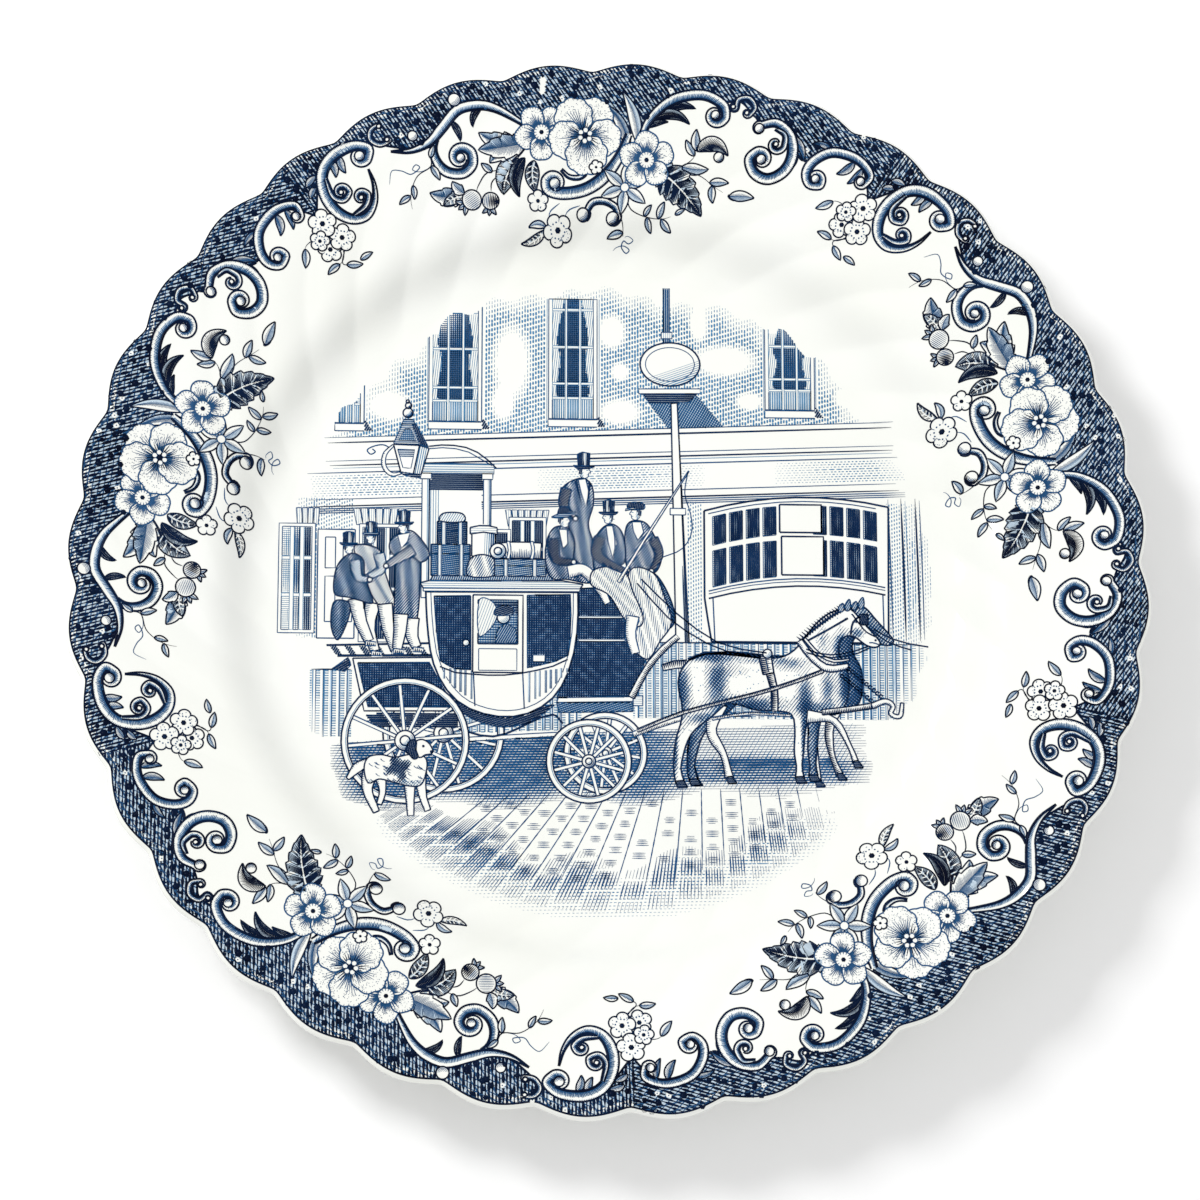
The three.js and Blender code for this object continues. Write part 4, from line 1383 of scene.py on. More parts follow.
def street(p):
    """Railings, kerb, the dark road under the coach, and paving that fades at the rim."""
    for x0, x1, y0, y1 in ((-70, -60, -36, -19.5), (-37, -6, -36, -24), (6, 75, -30.5, -12.3)):
        block(p, box(x0, y0, x1, y1), lambda z: 0.35 * vignette(z), 0, 0.6, line=0)
        for x in np.arange(x0 + 0.6, x1, 1.9):
            picket = [(x, y0), (x + 0.9, y0), (x + 0.9, y1), (x, y1)]
            block(p, picket, lambda z, x=x: 0.6 * vignette(z) * (z.real > x + 0.5), 90, 0.35, line=0)
            p.shade(p.shapes, line_of(picket, False), 90, 0.9, lambda z: 0.3 * vignette(z))
        p.taper(np.linspace(x0, x1, 9) + 1j * y1, 0.35, lambda t: swell(t) ** 0.3)
    block(p, [(-80, -36.2), (80, -30.2), (80, -80), (-80, -80)], line=0)
    road, everything = p.shapes, np.array([-76 - 78j, 76 - 78j, 76 - 30j, -76 - 30j])

    def shadow(z):
        x, y = z.real, z.imag
        under = 1 / (1 + np.exp(-(y + 49 - 0.03 * x + 1.2 * np.sin(x / 5)) * 1.1))
        right = 1 - np.clip((x - 8) / 14, 0, 1) * (0.7 - 0.5 * (y < -40) * (y > -46))
        top = np.clip((-y - 36.8 + 0.05 * (x + 60)) / 0.6, 0, 1)
        ends = np.clip((x + 66) / 8, 0, 1) * np.clip((64 - x) / 10, 0, 1)
        hooves = (29, 33, 37, 41, 46, 52)
        blots = sum(np.exp(-(((x - at) / 1.5) ** 2) - ((y + 41) / 1.3) ** 2) for at in hooves)
        rows = 0.78 + 0.14 * np.sin(x * 0.9 + 3 * np.sin(y))
        return np.clip(rows * right + 0.5 * blots, 0, 0.95) * under * top * ends * vignette(z) ** 0.5

    p.shade(road, everything, 1, 0.62, shadow, step=0.9, strength=0.7)
    p.shade(road, everything, 60, 0.9, lambda z: shadow(z) * 0.45, step=0.9)

    def joint(x, y):
        """A joint of the paving: it passes x at 50 below the middle and leans towards an eye."""
        return x + (x - 21) * (-50 - y) / (42 if x < 21 else 120) + 1j * y

    down = np.linspace(-46.5, -78, 40)
    for x in np.arange(-28.6, 54, 4.6):
        line = joint(x, down)
        clear = np.clip((72 - np.abs(line)) / 6, 0, 1) * np.clip((-47.4 + 0.03 * x - down) / 2, 0, 1)
        p.stroke(line, 0.34 * clear * (0.7 + 0.3 * np.sin(3 * down + x)), road, strength=0.7)
        for row in range(6):
            y = -51.6 - 3.1 * row + 1.2 * math.sin(x) + 0.02 * x
            middle = joint(x + 2.3, y)
            if abs(middle) > 70 or p.random.random() < 0.15:
                continue
            for j in range(4):
                half = p.random.uniform(1.1, 2.0)
                p.taper(middle - 0.42j * j + np.linspace(-half, half, 5), 0.2, shape=road, strength=0.6)

    def far_shade(z):
        ragged = np.abs(z - 2 + 4j) - 60 - 2 * np.sin(z.real / 3.4)
        away = np.clip((-z.imag - 50) / 8, 0, 1) * np.clip(ragged / 5, 0, 1)
        return away * np.clip((78 - np.abs(z)) / 8, 0, 1)

    for x in np.arange(-50, 62, 0.56):
        column, across = divmod(x + 28.6, 4.6)
        line = joint(x, down)
        brick = (down + 2.3 * column) % 5.1 > 0.7
        width = 0.56 * (0.62 + 0.1 * math.sin(2.3 * x)) * far_shade(line) * brick
        p.stroke(line, width * (across > 0.7), road, strength=0.6)
    p.shade(road, everything, 1, 0.8, dashed(lambda z: 0.36 * far_shade(z * 0.97), 1.0), step=0.2)


def speckled(z):
    """The strong lines of dark varnish, with gaps that make small light specks."""
    x, y = z.real, z.imag
    speck = np.sin(5.3 * x + 3 * np.sin(2.9 * y)) * np.sin(4.1 * y + 2 * np.sin(3.7 * x))
    return np.clip(0.84 - 1.2 * np.clip(speck - 0.2, 0, 1), 0.3, 1)


def varnished(p, points, line=0.3):
    """A dark panel: strong lines over an even ground of finer ink."""
    shape, outline = block(p, points, 0.8, 0, 0.56, line=0, strength=0.6)
    p.shade(shape, outline, 90, 0.56, speckled, strength=0.85)
    p.contour(outline, line)


def wheel(p, x, y, radius, spokes, turn=0.1, tyre=1.5):
    """A spoked wheel, whose gaps are left clear."""
    centre = complex(x, y)
    hub = 0.14 * radius
    for k in range(spokes):
        way = np.exp(1j * (turn + 2 * math.pi * k / spokes))
        spoke = centre + way * np.linspace(hub, radius - tyre / 2, 5)
        p.cover(outline_of(spoke, np.linspace(0.55, 0.38, 5))[0])
        side = 1j * way * 0.42
        p.stroke(spoke + side, 0.22)
        p.stroke(spoke - side, 0.3)
    outer, inner = ring(centre, radius, 72), ring(centre, radius - tyre, 72)
    outer, inner = np.r_[outer, outer[0]], np.r_[inner, inner[0]]
    p.cover(np.r_[outer, inner[::-1]])
    p.stroke(outer, 0.4)
    p.stroke(inner, 0.35)
    p.stroke(outer + (inner - outer) * 0.72, 0.15)
    bead(p, centre, hub * 1.15, 0.5)
    bead(p, centre, hub * 0.55, 0.3)


def coach(p):
    """The coach: boots, curved body with a door, roof, wheels and perch."""
    wheel(p, -38.5, -34.5, 14.2, 12, 0.3)
    wheel(p, -0.5, -39, 9.8, 12, 0.4)
    block(p, [(-60, -16.8), (-41, -16.4), (-38, -23), (-34, -29.2), (-57.2, -29.4)], line=0.35)
    varnished(p, [(-58.8, -17.9), (-42, -17.6), (-38.6, -24), (-35.5, -28.3), (-56.3, -28.4)])
    block(p, [(-57, -30), (-35, -29.6), (-35, -33), (-55, -33)], 0.9, 0, 0.5, line=0)
    rule(p, [(-56.5, -31.8), (-36, -31.4)], 0.2)
    for k in range(7):
        x = 3.4 * k
        block(p, [(-65.5 + x, -13.8), (-63.8 + x, -13.8), (-62.4 + x, -16), (-64.1 + x, -16)], 0.8, 60,
              0.5, line=0)
    rule(p, [(-66.2, -13.7), (-42, -13)], 0.5, False)
    rule(p, [(-63.6, -16.2), (-41.5, -15.9)], 0.6, False)
    block(p, [(-64.8, -19.4), (-61, -16.6), (-60.4, -18.4), (-61.8, -20)], 0.9, 30, 0.5, line=0.3)
    front = [(-7.5, 0.5), (0, 1), (3.6, -6.5), (9, -16.5), (5.4, -25.6), (-12, -26), (-9, -18),
             (-7.3, -9)]
    varnished(p, front)
    for y in (-6.4, -12):
        block(p, [(-6.8, y - 0.3), (4, y - 0.1), (4.2, y + 0.4), (-6.8, y + 0.3)], line=0.2)
    block(p, [(-11.5, -29.4), (6, -29), (6, -26.8), (-12, -27)], 0.7, 20, 0.5, cross=0.4, line=0.25)
    block(p, [(-12, -27), (6.2, -26.6), (6.2, -25.4), (-11.6, -25.8)], line=0.3)
    block(p, box(6, -27.6, 8.3, -25.2), 0.2, 0, 0.5, line=0.3)
    limb(p, [(5.6, -25.6), (9, -19), (12.5, -14.5), (16.6, -10.8)], (1.6, 1.5, 1.5, 1.4), 0.7, 0.35)
    belly = [(-43, 0), (-42.6, -8), (-41.3, -17), (-38, -24), (-33, -28.4), (-25.5, -30.5),
             (-18.5, -29.6), (-12.4, -25.4), (-8.7, -18), (-7.1, -9), (-7, 0)]
    under = line_of([(-37, -27.3), (-32, -31), (-25, -33), (-18, -31.6), (-12.5, -27.6)])
    block(p, [(z.real, z.imag) for z in under] + [(-18, -28), (-30, -28)], 0.9, 20, 0.5, line=0.3)
    block(p, [(z.real, z.imag) for z in line_of(belly)], line=0.45)
    inner = [(-41.8, -0.5), (-41.3, -8.5), (-40, -16.5), (-36.8, -22.9), (-32.3, -27), (-25.5, -29),
             (-18.8, -28.2), (-13.2, -24.4), (-9.8, -17.5), (-8.3, -9), (-8.1, -0.5)]
    rule(p, inner, 0.2)
    varnished(p, [(-41, -1.6), (-32.4, -1.4), (-32.2, -19.4), (-36.4, -19), (-39.4, -17.2),
                  (-40.4, -10)])
    varnished(p, [(-19, -1.2), (-8.8, -0.9), (-8.6, -8), (-9.3, -15.6), (-12, -17), (-18.9, -18.8)])
    for x0, x1, y, bowl, middle in ((-39.4, -31.6, -28.3, 0.036, 25), (-19.4, -9.8, -28.2, 0.042, 24)):
        for x in np.arange(x0 + 0.8, x1, 1.25):
            y1 = -20.4 + 0.12 * abs(x + 25)
            y0 = y + bowl * (x + middle) ** 2
            if y0 < y1 - 1:
                block(p, box(x, y0, x + 0.55, y1), 0.6, 90, 0.3, line=0)
    rule(p, [(-39.5, -18.6), (-36, -20), (-31, -20.4), (-25.5, -20.6), (-19, -19.8), (-12, -18),
             (-9.4, -16.6)], 0.35)
    block(p, box(-31.8, -19.9, -20, -1.2), line=0.35)
    block(p, box(-30.6, -13, -21.2, -2.4), lambda z: 0.55 + 0.25 * (z.imag > -6), 0, 0.6, cross=0.3,
          line=0.35)
    block(p, [(-30.4, -2.6), (-27.5, -2.6), (-26, -5.5), (-27.4, -9), (-30.4, -11)], 0.15, 70, 0.6,
          rounded=True)
    block(p, [(-26.6, -12.8), (-26, -9.4), (-23.8, -8), (-21.6, -9.4), (-21.4, -12.8)], 0.7, 60, 0.5)
    bead(p, complex(-24.6, -6.6), 1.5, 0.2)
    block(p, [(-26.7, -6), (-25.8, -3.8), (-22.8, -3.9), (-22.3, -5.8)], 0.85, 20, 0.45, rounded=True)
    block(p, box(-30.4, -19.4, -21.4, -14.2), line=0.2)
    rule(p, [(-31.6, -20), (-31.2, -28)], 0.3)
    rule(p, [(-20, -20), (-19.6, -28.6)], 0.3)
    bead(p, complex(-33.4, -12.8), 0.8, 0.2)
    block(p, box(-17.6, -17.2, -14.8, -15.6), line=0.2)
    block(p, [(-44.4, 1.6), (-43, -0.6), (-7, -0.4), (-5.8, 1.6), (-8, 2.4), (-42, 2.2)], 0.25, 0, 0.5,
          line=0.35)
    block(p, [(-42, 2.2), (-13, 2.4), (-13, 4.6), (-27, 6.2), (-41, 4)], 0.55, 70, 0.5, line=0.3)
    block(p, [(-43.6, -0.4), (-6.6, -0.2), (-6.6, 0.5), (-43.6, 0.3)], line=0.25)
    limb(p, [(-33, -36), (-24, -35.4), (-12, -34.6)], (1.0, 1.0, 1.0), 0.4)
    rule(p, [(-35, -33.6), (-26, -35.2), (-14, -30), (-10.5, -32)], 0.5)
    wheel(p, -47.5, -36.4, 15, 12)
    wheel(p, -4.4, -41, 10, 12, 0.26)
    limb(p, [(6, -34.5), (14, -31.6), (22, -29.6), (34, -29.6)], (1.3, 1.1, 1.0, 0.8), 0.6)


def head(p, x, y, size, way=1, hat="top"):
    """A small plain face under a top hat, a broad hat or a cap, turned right or, with way -1, left."""
    at = complex(x, y)

    def place(points):
        return [(at.real + way * size * u, at.imag + size * v) for u, v in points]

    front = [(-0.75, 0.6), (0.3, 0.75), (0.75, 0.3), (1.0, -0.1), (0.7, -0.25), (0.6, -0.8), (0, -1.05),
            (-0.6, -0.6)]
    block(p, place(front), lambda z: 0.4 * (way * (z.real - x) < -0.1 * size), 60, 0.4, line=0.2,
          rounded=True)
    rule(p, place([(0.35, 0.18), (0.65, 0.2)]), 0.16)
    rule(p, place([(0.4, -0.5), (0.62, -0.48)]), 0.13)
    block(p, place([(-0.9, 0.7), (-0.1, 0.6), (-0.35, 0), (-0.5, -0.6), (-0.9, -0.3)]), 0.85, 80, 0.4,
          line=0)
    if hat == "top":
        crown = [(-0.85, 0.7), (-1.0, 2.7), (-0.2, 3.0), (0.9, 2.8), (0.75, 0.75)]
        block(p, place(crown), lambda z: 0.95 - 0.7 * (np.abs(way * (z.real - x) / size - 0.15) < 0.22),
              88, 0.4, line=0.3)
        block(p, place([(-1.6, 0.95), (-0.9, 0.45), (0.8, 0.5), (1.6, 0.85), (0.8, 0.9), (-0.8, 0.9)]),
              0.9, 0, 0.4, rounded=True)
    elif hat == "broad":
        block(p, place([(-0.9, 0.8), (-0.8, 2), (0, 2.4), (0.9, 1.9), (0.9, 0.8)]), 0.9, 80, 0.4,
              line=0.3, rounded=True)
        block(p, place([(-2, 0.6), (-0.6, 0.5), (1, 0.8), (1.9, 1.5), (0.6, 1.3), (-0.8, 1.2)]), 0.6, 0,
              0.4, rounded=True)
    elif hat == "cap":
        block(p, place([(-1.2, 0.7), (-1.3, 1.6), (0.2, 1.9), (1.3, 1.5), (1.0, 0.7)]), 0.9, 80, 0.4,
              rounded=True)
        block(p, place([(0.2, 0.75), (1.7, 0.45), (1.6, 0.75), (0.2, 1.05)]), 0.5, 0, 0.3)


def cloth(p, points, tone=0.6, angle=50, fold=3.0, lean=0.2):
    """A piece of clothing, hatched so that its folds run down it."""
    def folds(z):
        across = 2 * math.pi * (z.real + lean * z.imag) / fold
        return np.clip(tone + 0.2 * np.sin(across) + 0.1 * np.sin(1.7 * across + 0.4 * z.imag), 0.02,
                       0.96)

    def deep(z):
        return np.clip(folds(z) - 0.45, 0, 0.5)

    block(p, points, folds, angle, 0.5, cross=deep, line=0.34, rounded=True, strength=0.6)


def sleeve(p, points, width=2.6, tone=0.5):
    """A sleeve with its cuff and hand."""
    limb(p, points, (width, width * 0.95, width * 0.7, width * 0.5), 0.5, 0.32, fill=tone)
    bead(p, complex(*points[-1]), 0.62, 0.2)


def trouser(p, points):
    """A pale trouser leg with its shoe."""
    limb(p, points, (3.5, 2.9, 2.2), 0.45, 0.34)
    foot = points[-1]
    limb(p, [(foot[0] - 0.8, foot[1] - 0.5), (foot[0] + 1.6, foot[1] - 0.7)], (1.2, 0.9), 0.9, 0.3)


def trunk(p, x0, y0, x1, y1, tone, lid=0.7):
    """A travelling trunk with a lid and two straps."""
    block(p, box(x0, y0, x1, y1), tone, 8, 0.5, cross=tone / 2, line=0.34)
    rule(p, [(x0, y0 + lid * (y1 - y0)), (x1, y0 + lid * (y1 - y0))], 0.3)
    for share in (0.22, 0.78):
        x = x0 + share * (x1 - x0)
        block(p, box(x - 0.45, y0, x + 0.45, y1), 0.2, 90, 0.4, line=0.24)


def luggage(p):
    """Trunks, a hat box, a bag and a rolled blanket, strapped to the roof."""
    trunk(p, -41.8, 3.4, -32.6, 11, 0.7)
    trunk(p, -40.4, 11, -33.4, 16.6, 0.85, 0.6)
    block(p, [(-39.6, 16.6), (-39, 18.6), (-34.6, 18.6), (-34.2, 16.6)], 0.3, 60, 0.5, rounded=True,
          line=0.34)
    block(p, box(-32.2, 8.2, -26.6, 14.4), lambda z: 0.75 * np.clip((z.real + 30) / 3.4, 0, 1), 88, 0.5,
          line=0.34)
    block(p, [(-32.6, 13.6), (-32.6, 15.2), (-29.4, 15.9), (-26.2, 15.2), (-26.2, 13.6), (-29.4, 14.1)],
          0.15, 0, 0.5, line=0.34)
    cloth(p, [(-33, 3.4), (-32.6, 7.4), (-30, 8.6), (-27, 7.6), (-26.6, 3.6)], 0.35, 60, 3)
    trunk(p, -26.8, 3.4, -14.6, 7.6, 0.55, 0.6)
    limb(p, [(-26, 9.5), (-21, 9.9), (-15.8, 9.6)], (3.8, 4, 3.8), 0.55, 0.34)
    for x in (-23.6, -18):
        limb(p, [(x, 11.9), (x + 0.4, 9.7), (x, 7.7)], (0.7, 0.7, 0.7), 0.3, 0.25)
    bead(p, complex(-26, 9.5), 1.9, 0.4)
    bead(p, complex(-26, 9.5), 0.9, 0.4)


def passengers(p):
    """People standing behind the coach, on its roof and on its box."""
    # Standing at the back.
    cloth(p, [(-60, 9.4), (-58.4, 10.8), (-54.4, 9.8), (-52.8, 7), (-52.6, 3.6), (-50.6, -1.6),
              (-49.8, -5), (-54, -4), (-57.4, 2)], 0.36, 50, 3.4, 0.5)
    trouser(p, [(-55.4, -3.4), (-56.4, -9), (-54.8, -15)])
    trouser(p, [(-52.6, -3.6), (-51.8, -9.4), (-50, -14.8)])
    sleeve(p, [(-54.2, 8.6), (-53.6, 4.8), (-57, 2.8)], 2.6, 0.3)
    head(p, -56, 12.4, 1.35, -1)
    cloth(p, [(-49.8, 7.4), (-44.6, 7), (-44.4, 1), (-44.8, -6), (-46, -9.4), (-50.2, -7), (-50.2, 0)],
          0.62, 50, 2.8, 0.05)
    trouser(p, [(-46.2, -7), (-46.2, -11), (-45, -14)])
    trouser(p, [(-48.8, -6), (-49, -10.4), (-49.6, -14.4)])
    cloth(p, [(-51.6, 9.6), (-51.2, 12.2), (-49.2, 13.6), (-46.4, 14.2), (-43.6, 11.4), (-42.2, 8.4),
              (-44, 6.6), (-46.6, 7.8), (-49, 7)], 0.55, 40, 3.2, 0.3)
    block(p, [(-49.8, 13.2), (-48.9, 9.8), (-47.4, 11.6), (-46.8, 13.8)], line=0.25)
    sleeve(p, [(-46, 9.6), (-49, 7.8), (-52.4, 5.6)], 2.8, 0.5)
    head(p, -48.3, 15, 1.45, -1)
    trouser(p, [(-59.6, -2.4), (-58.4, -7.6), (-56.2, -12.6)])
    cloth(p, [(-64.8, -3.6), (-62.6, -2.8), (-60.8, -4), (-61.4, -8), (-63.6, -12.4), (-65.2, -9)],
          0.75, 50, 3, 0)
    cloth(p, [(-64.5, -1.2), (-64.4, 4), (-62.8, 7.2), (-60.2, 8.6), (-57.8, 7), (-57.4, 3),
              (-55.4, -3.2), (-58.5, -2.8), (-61.5, -2)], 0.7, 50, 3.6, 0.3)
    sleeve(p, [(-59.8, 7), (-59, 2.8), (-56.2, 2.2)], 2.6, 0.45)
    head(p, -61.3, 9.9, 1.35, 1)
    # On the roof, from the back to the front.
    luggage(p)
    cloth(p, [(-11.2, 19.8), (-11, 24.4), (-9.6, 26.2), (-7.2, 27.4), (-5.2, 27.4), (-3.6, 25.4),
              (-3.4, 21), (-4.6, 16), (-2.8, 10), (-3.2, 3), (-8.6, 4), (-8.8, 14)], 0.62, 50, 2.6,
          0.12)
    block(p, [(-7, 27.2), (-5.2, 27.4), (-4.4, 24), (-5.2, 20.8), (-6.2, 23.6)], line=0.28)
    for root, tip in (((-7.6, 27), (-5.8, 19.4)), ((-4.2, 26.4), (-5, 19.6))):
        rule(p, [root, tip], 0.7, form=fade)
    sleeve(p, [(-9.8, 25), (-10.4, 20.6), (-7.6, 17.6)], 2.6, 0.8)
    head(p, -5.6, 29.2, 1.6)
    cloth(p, [(-14.4, 5), (-14.8, 9.6), (-14, 13.4), (-12.2, 15.6), (-9.4, 15.2), (-7.8, 12), (-8, 8),
              (-6, 6), (-4, 2), (-9.6, 2.8), (-12.8, 2.8)], 0.66, 50, 3.4, 0.4)
    block(p, [(-11.6, 15), (-9.6, 15), (-9.4, 11.4), (-10.6, 10.2)], line=0.28)
    sleeve(p, [(-13, 12.6), (-12.2, 7.6), (-8, 7)], 2.8, 0.85)
    limb(p, [(-9.4, 4.6), (-5.6, 5), (-2, 1), (0, -3)], (3, 2.8, 2.2, 1.6), 0.35, 0.32)
    head(p, -10.3, 17, 1.5, 1, "broad")
    cloth(p, [(4.2, 8), (4.2, 14.4), (5.4, 17), (8.6, 17), (10.6, 14.6), (12.8, 9), (11.4, 4.8),
              (7.6, 4.4), (5, 5.6)], 0.62, 50, 2.8, 0.3)
    block(p, [(5.8, 17), (8, 17), (8.6, 14.4), (7.2, 12.4), (6.2, 14.2)], line=0.28)
    sleeve(p, [(10.8, 13), (12.2, 9), (10.4, 5)], 2.4, 0.8)
    head(p, 6.7, 19, 1.5, -1, "cap")
    cloth(p, [(10.8, 4.2), (12.6, 2.8), (15, -2), (16, -6.8), (14.2, -8.8), (13, -3)], 0.85, 40, 3, 0)
    cloth(p, [(5.2, 5), (10.8, 4.6), (13.4, -1), (15.2, -7.4), (12.4, -12), (9.4, -16.4), (5.6, -13),
              (5.2, -7)], 0.24, 84, 2.1, 0.3)
    cloth(p, [(-3.4, 9), (-3, 12.6), (-1.2, 15.4), (1, 16.4), (3.2, 14.8), (4.2, 11), (3.8, 6.8),
              (0, 6), (-3, 5)], 0.7, 50, 3.2, 0.2)
    block(p, [(-0.4, 15.9), (1.2, 16), (2, 11.6), (1.2, 8), (0.4, 10)], line=0.28)
    cloth(p, [(-3.8, 1.4), (-3.4, 5), (1, 6), (4.4, 4.4), (6, 0), (8.4, -6), (7.4, -8.6), (4, -6.8),
              (0.4, -1)], 0.26, 70, 2.6, 0.9)
    limb(p, [(6, -6), (5.4, -10.4), (6.6, -15)], (3, 2.4, 2), 0.35, 0.32)
    sleeve(p, [(-1.8, 13.2), (-2.4, 8.6), (4.2, 4.8)], 2.6, 0.8)
    head(p, 0.2, 18, 1.45, -1)
    limb(p, [(2.6, 2.2), (9, 13), (15, 22.6), (19.4, 29.6)], (0.8, 0.65, 0.5, 0.25), 0.6)
    rule(p, [(19.2, 29.4), (18.4, 24), (19.8, 19), (20, 14.4), (17.6, 10.4), (13, 8.4)], 0.26)


def leg(p, points, width, tone=0.45):
    """A horse's leg from the hip down, with its hoof."""
    widths = [width * share for share in (1, 0.7, 0.5, 0.5, 0.34, 0.32, 0.44)]
    limb(p, points, widths, tone, 0.34)
    x, y = points[-1]
    block(p, [(x - 0.7, y + 0.3), (x + 0.6, y + 0.5), (x + 1.8, y - 1.2), (x - 0.3, y - 1.3)], 0.85, 0,
          0.4, line=0.34)


def horse(p, dx, dy, shade):
    """A harnessed horse at a trot, standing on its near legs."""
    body = [
        (16.8, -24), (16.9, -20), (19.4, -16.4), (24, -14.9), (30, -15.2), (36, -15.8), (41, -15.6),
        (44.2, -13.8), (46.6, -11), (49.2, -7.6), (52.4, -4.9), (56, -3.7), (58, -4), (60.6, -7),
        (63.6, -10.4), (64.6, -12), (63.6, -13), (61.4, -12.6), (58.6, -10.6), (56.4, -10.4),
        (54.9, -12), (54.9, -15), (56.6, -18.4), (57.1, -22), (56.4, -26.4), (54, -28.8), (50, -29.8),
        (47.6, -30.6), (46.6, -33), (46.1, -38.4), (45.7, -42), (46.2, -44.6), (44.2, -44.8),
        (44.4, -42), (43.9, -38.4), (44.1, -33), (43.4, -29.4), (40, -28.6), (35, -28.4), (31, -27.2),
        (28, -27), (24.6, -30), (20.6, -33.2), (18.8, -36), (17.6, -40), (17.2, -43), (18, -46),
        (16, -46.2), (15.5, -42.6), (15.6, -39), (16.2, -35), (17.4, -31), (17.6, -27.6),
    ]
    patches = (
        (17, -24, 2.2, 7, 0.85), (25.8, -21.8, 2.2, 4.6, 0.7), (29, -19, 5, 1.4, 0.25),
        (33, -27.6, 8, 2.2, 0.85), (46.6, -25, 1.8, 4.6, 0.65), (49.4, -27.8, 4.5, 1.4, 0.5),
        (52, -23, 1.5, 4.6, 0.55), (56.5, -22.5, 1.7, 6, 1), (43.4, -17.6, 4, 1.4, 0.35),
        (55.2, -13.6, 1.6, 4, 0.9), (24, -15.6, 7, 1.1, 0.7), (22.6, -30.6, 3.2, 1.4, 0.6),
        (46.6, -33, 0.8, 4.4, 0.7), (59, -9.6, 1.8, 1.2, 0.6), (15.6, -38, 0.8, 7, 0.9),
        (46.4, -39, 0.6, 6, 0.9), (51, -11.6, 1.4, 3.6, 0.35), (38, -16.4, 8, 0.8, 0.4),
    )

    def tone(z):
        dark = np.full(np.shape(z), shade - 0.04)
        for x, y, wide, high, strength in patches:
            away = ((z.real - dx - x) / wide) ** 2 + ((z.imag - dy - y) / high) ** 2
            dark += 1.15 * strength * np.exp(-away)
        return np.clip(dark, 0, 0.95)

    coat, outline = block(p, [(x + dx, y + dy) for x, y in body], tone, 52, 0.62, line=0.42,
                          rounded=True, strength=0.6)
    p.shade(coat, outline, 142, 0.62, lambda z: np.clip(tone(z) - 0.3, 0, 0.6), strength=0.85)
    p.stipple(coat, outline, 0.95, 0.13, lambda z: np.clip(2.2 * tone(z) + 0.2, 0, 1))
    for x, y in ((16.8, -45.6), (44.9, -44.4)):
        block(p, [(x - 0.9 + dx, y + dy), (x + 1 + dx, y + 0.3 + dy), (x + 2 + dx, y - 1.4 + dy),
                  (x - 0.4 + dx, y - 1.5 + dy)], 0.85, 0, 0.4, line=0.34)
    for k in np.arange(0, 11, 0.6):
        root = complex(45.4 + k + dx, -12.4 + 0.98 * k - 0.02 * k * k + dy)
        p.taper([root, root + 0.3 + 1.1j, root - 0.9 + 2j], 0.62, fade)
    for x, y, tall in ((54.9 + dx, -4.4 + dy, 2.0), (56.5 + dx, -4.1 + dy, 2.7)):
        ear = [(x, y), (x - 0.1, y + 0.5 * tall), (x + 0.9, y + tall), (x + 1.2, y + 0.4 * tall),
               (x + 0.8, y)]
        block(p, ear, 0.5, 60, 0.4, line=0.32, rounded=True)


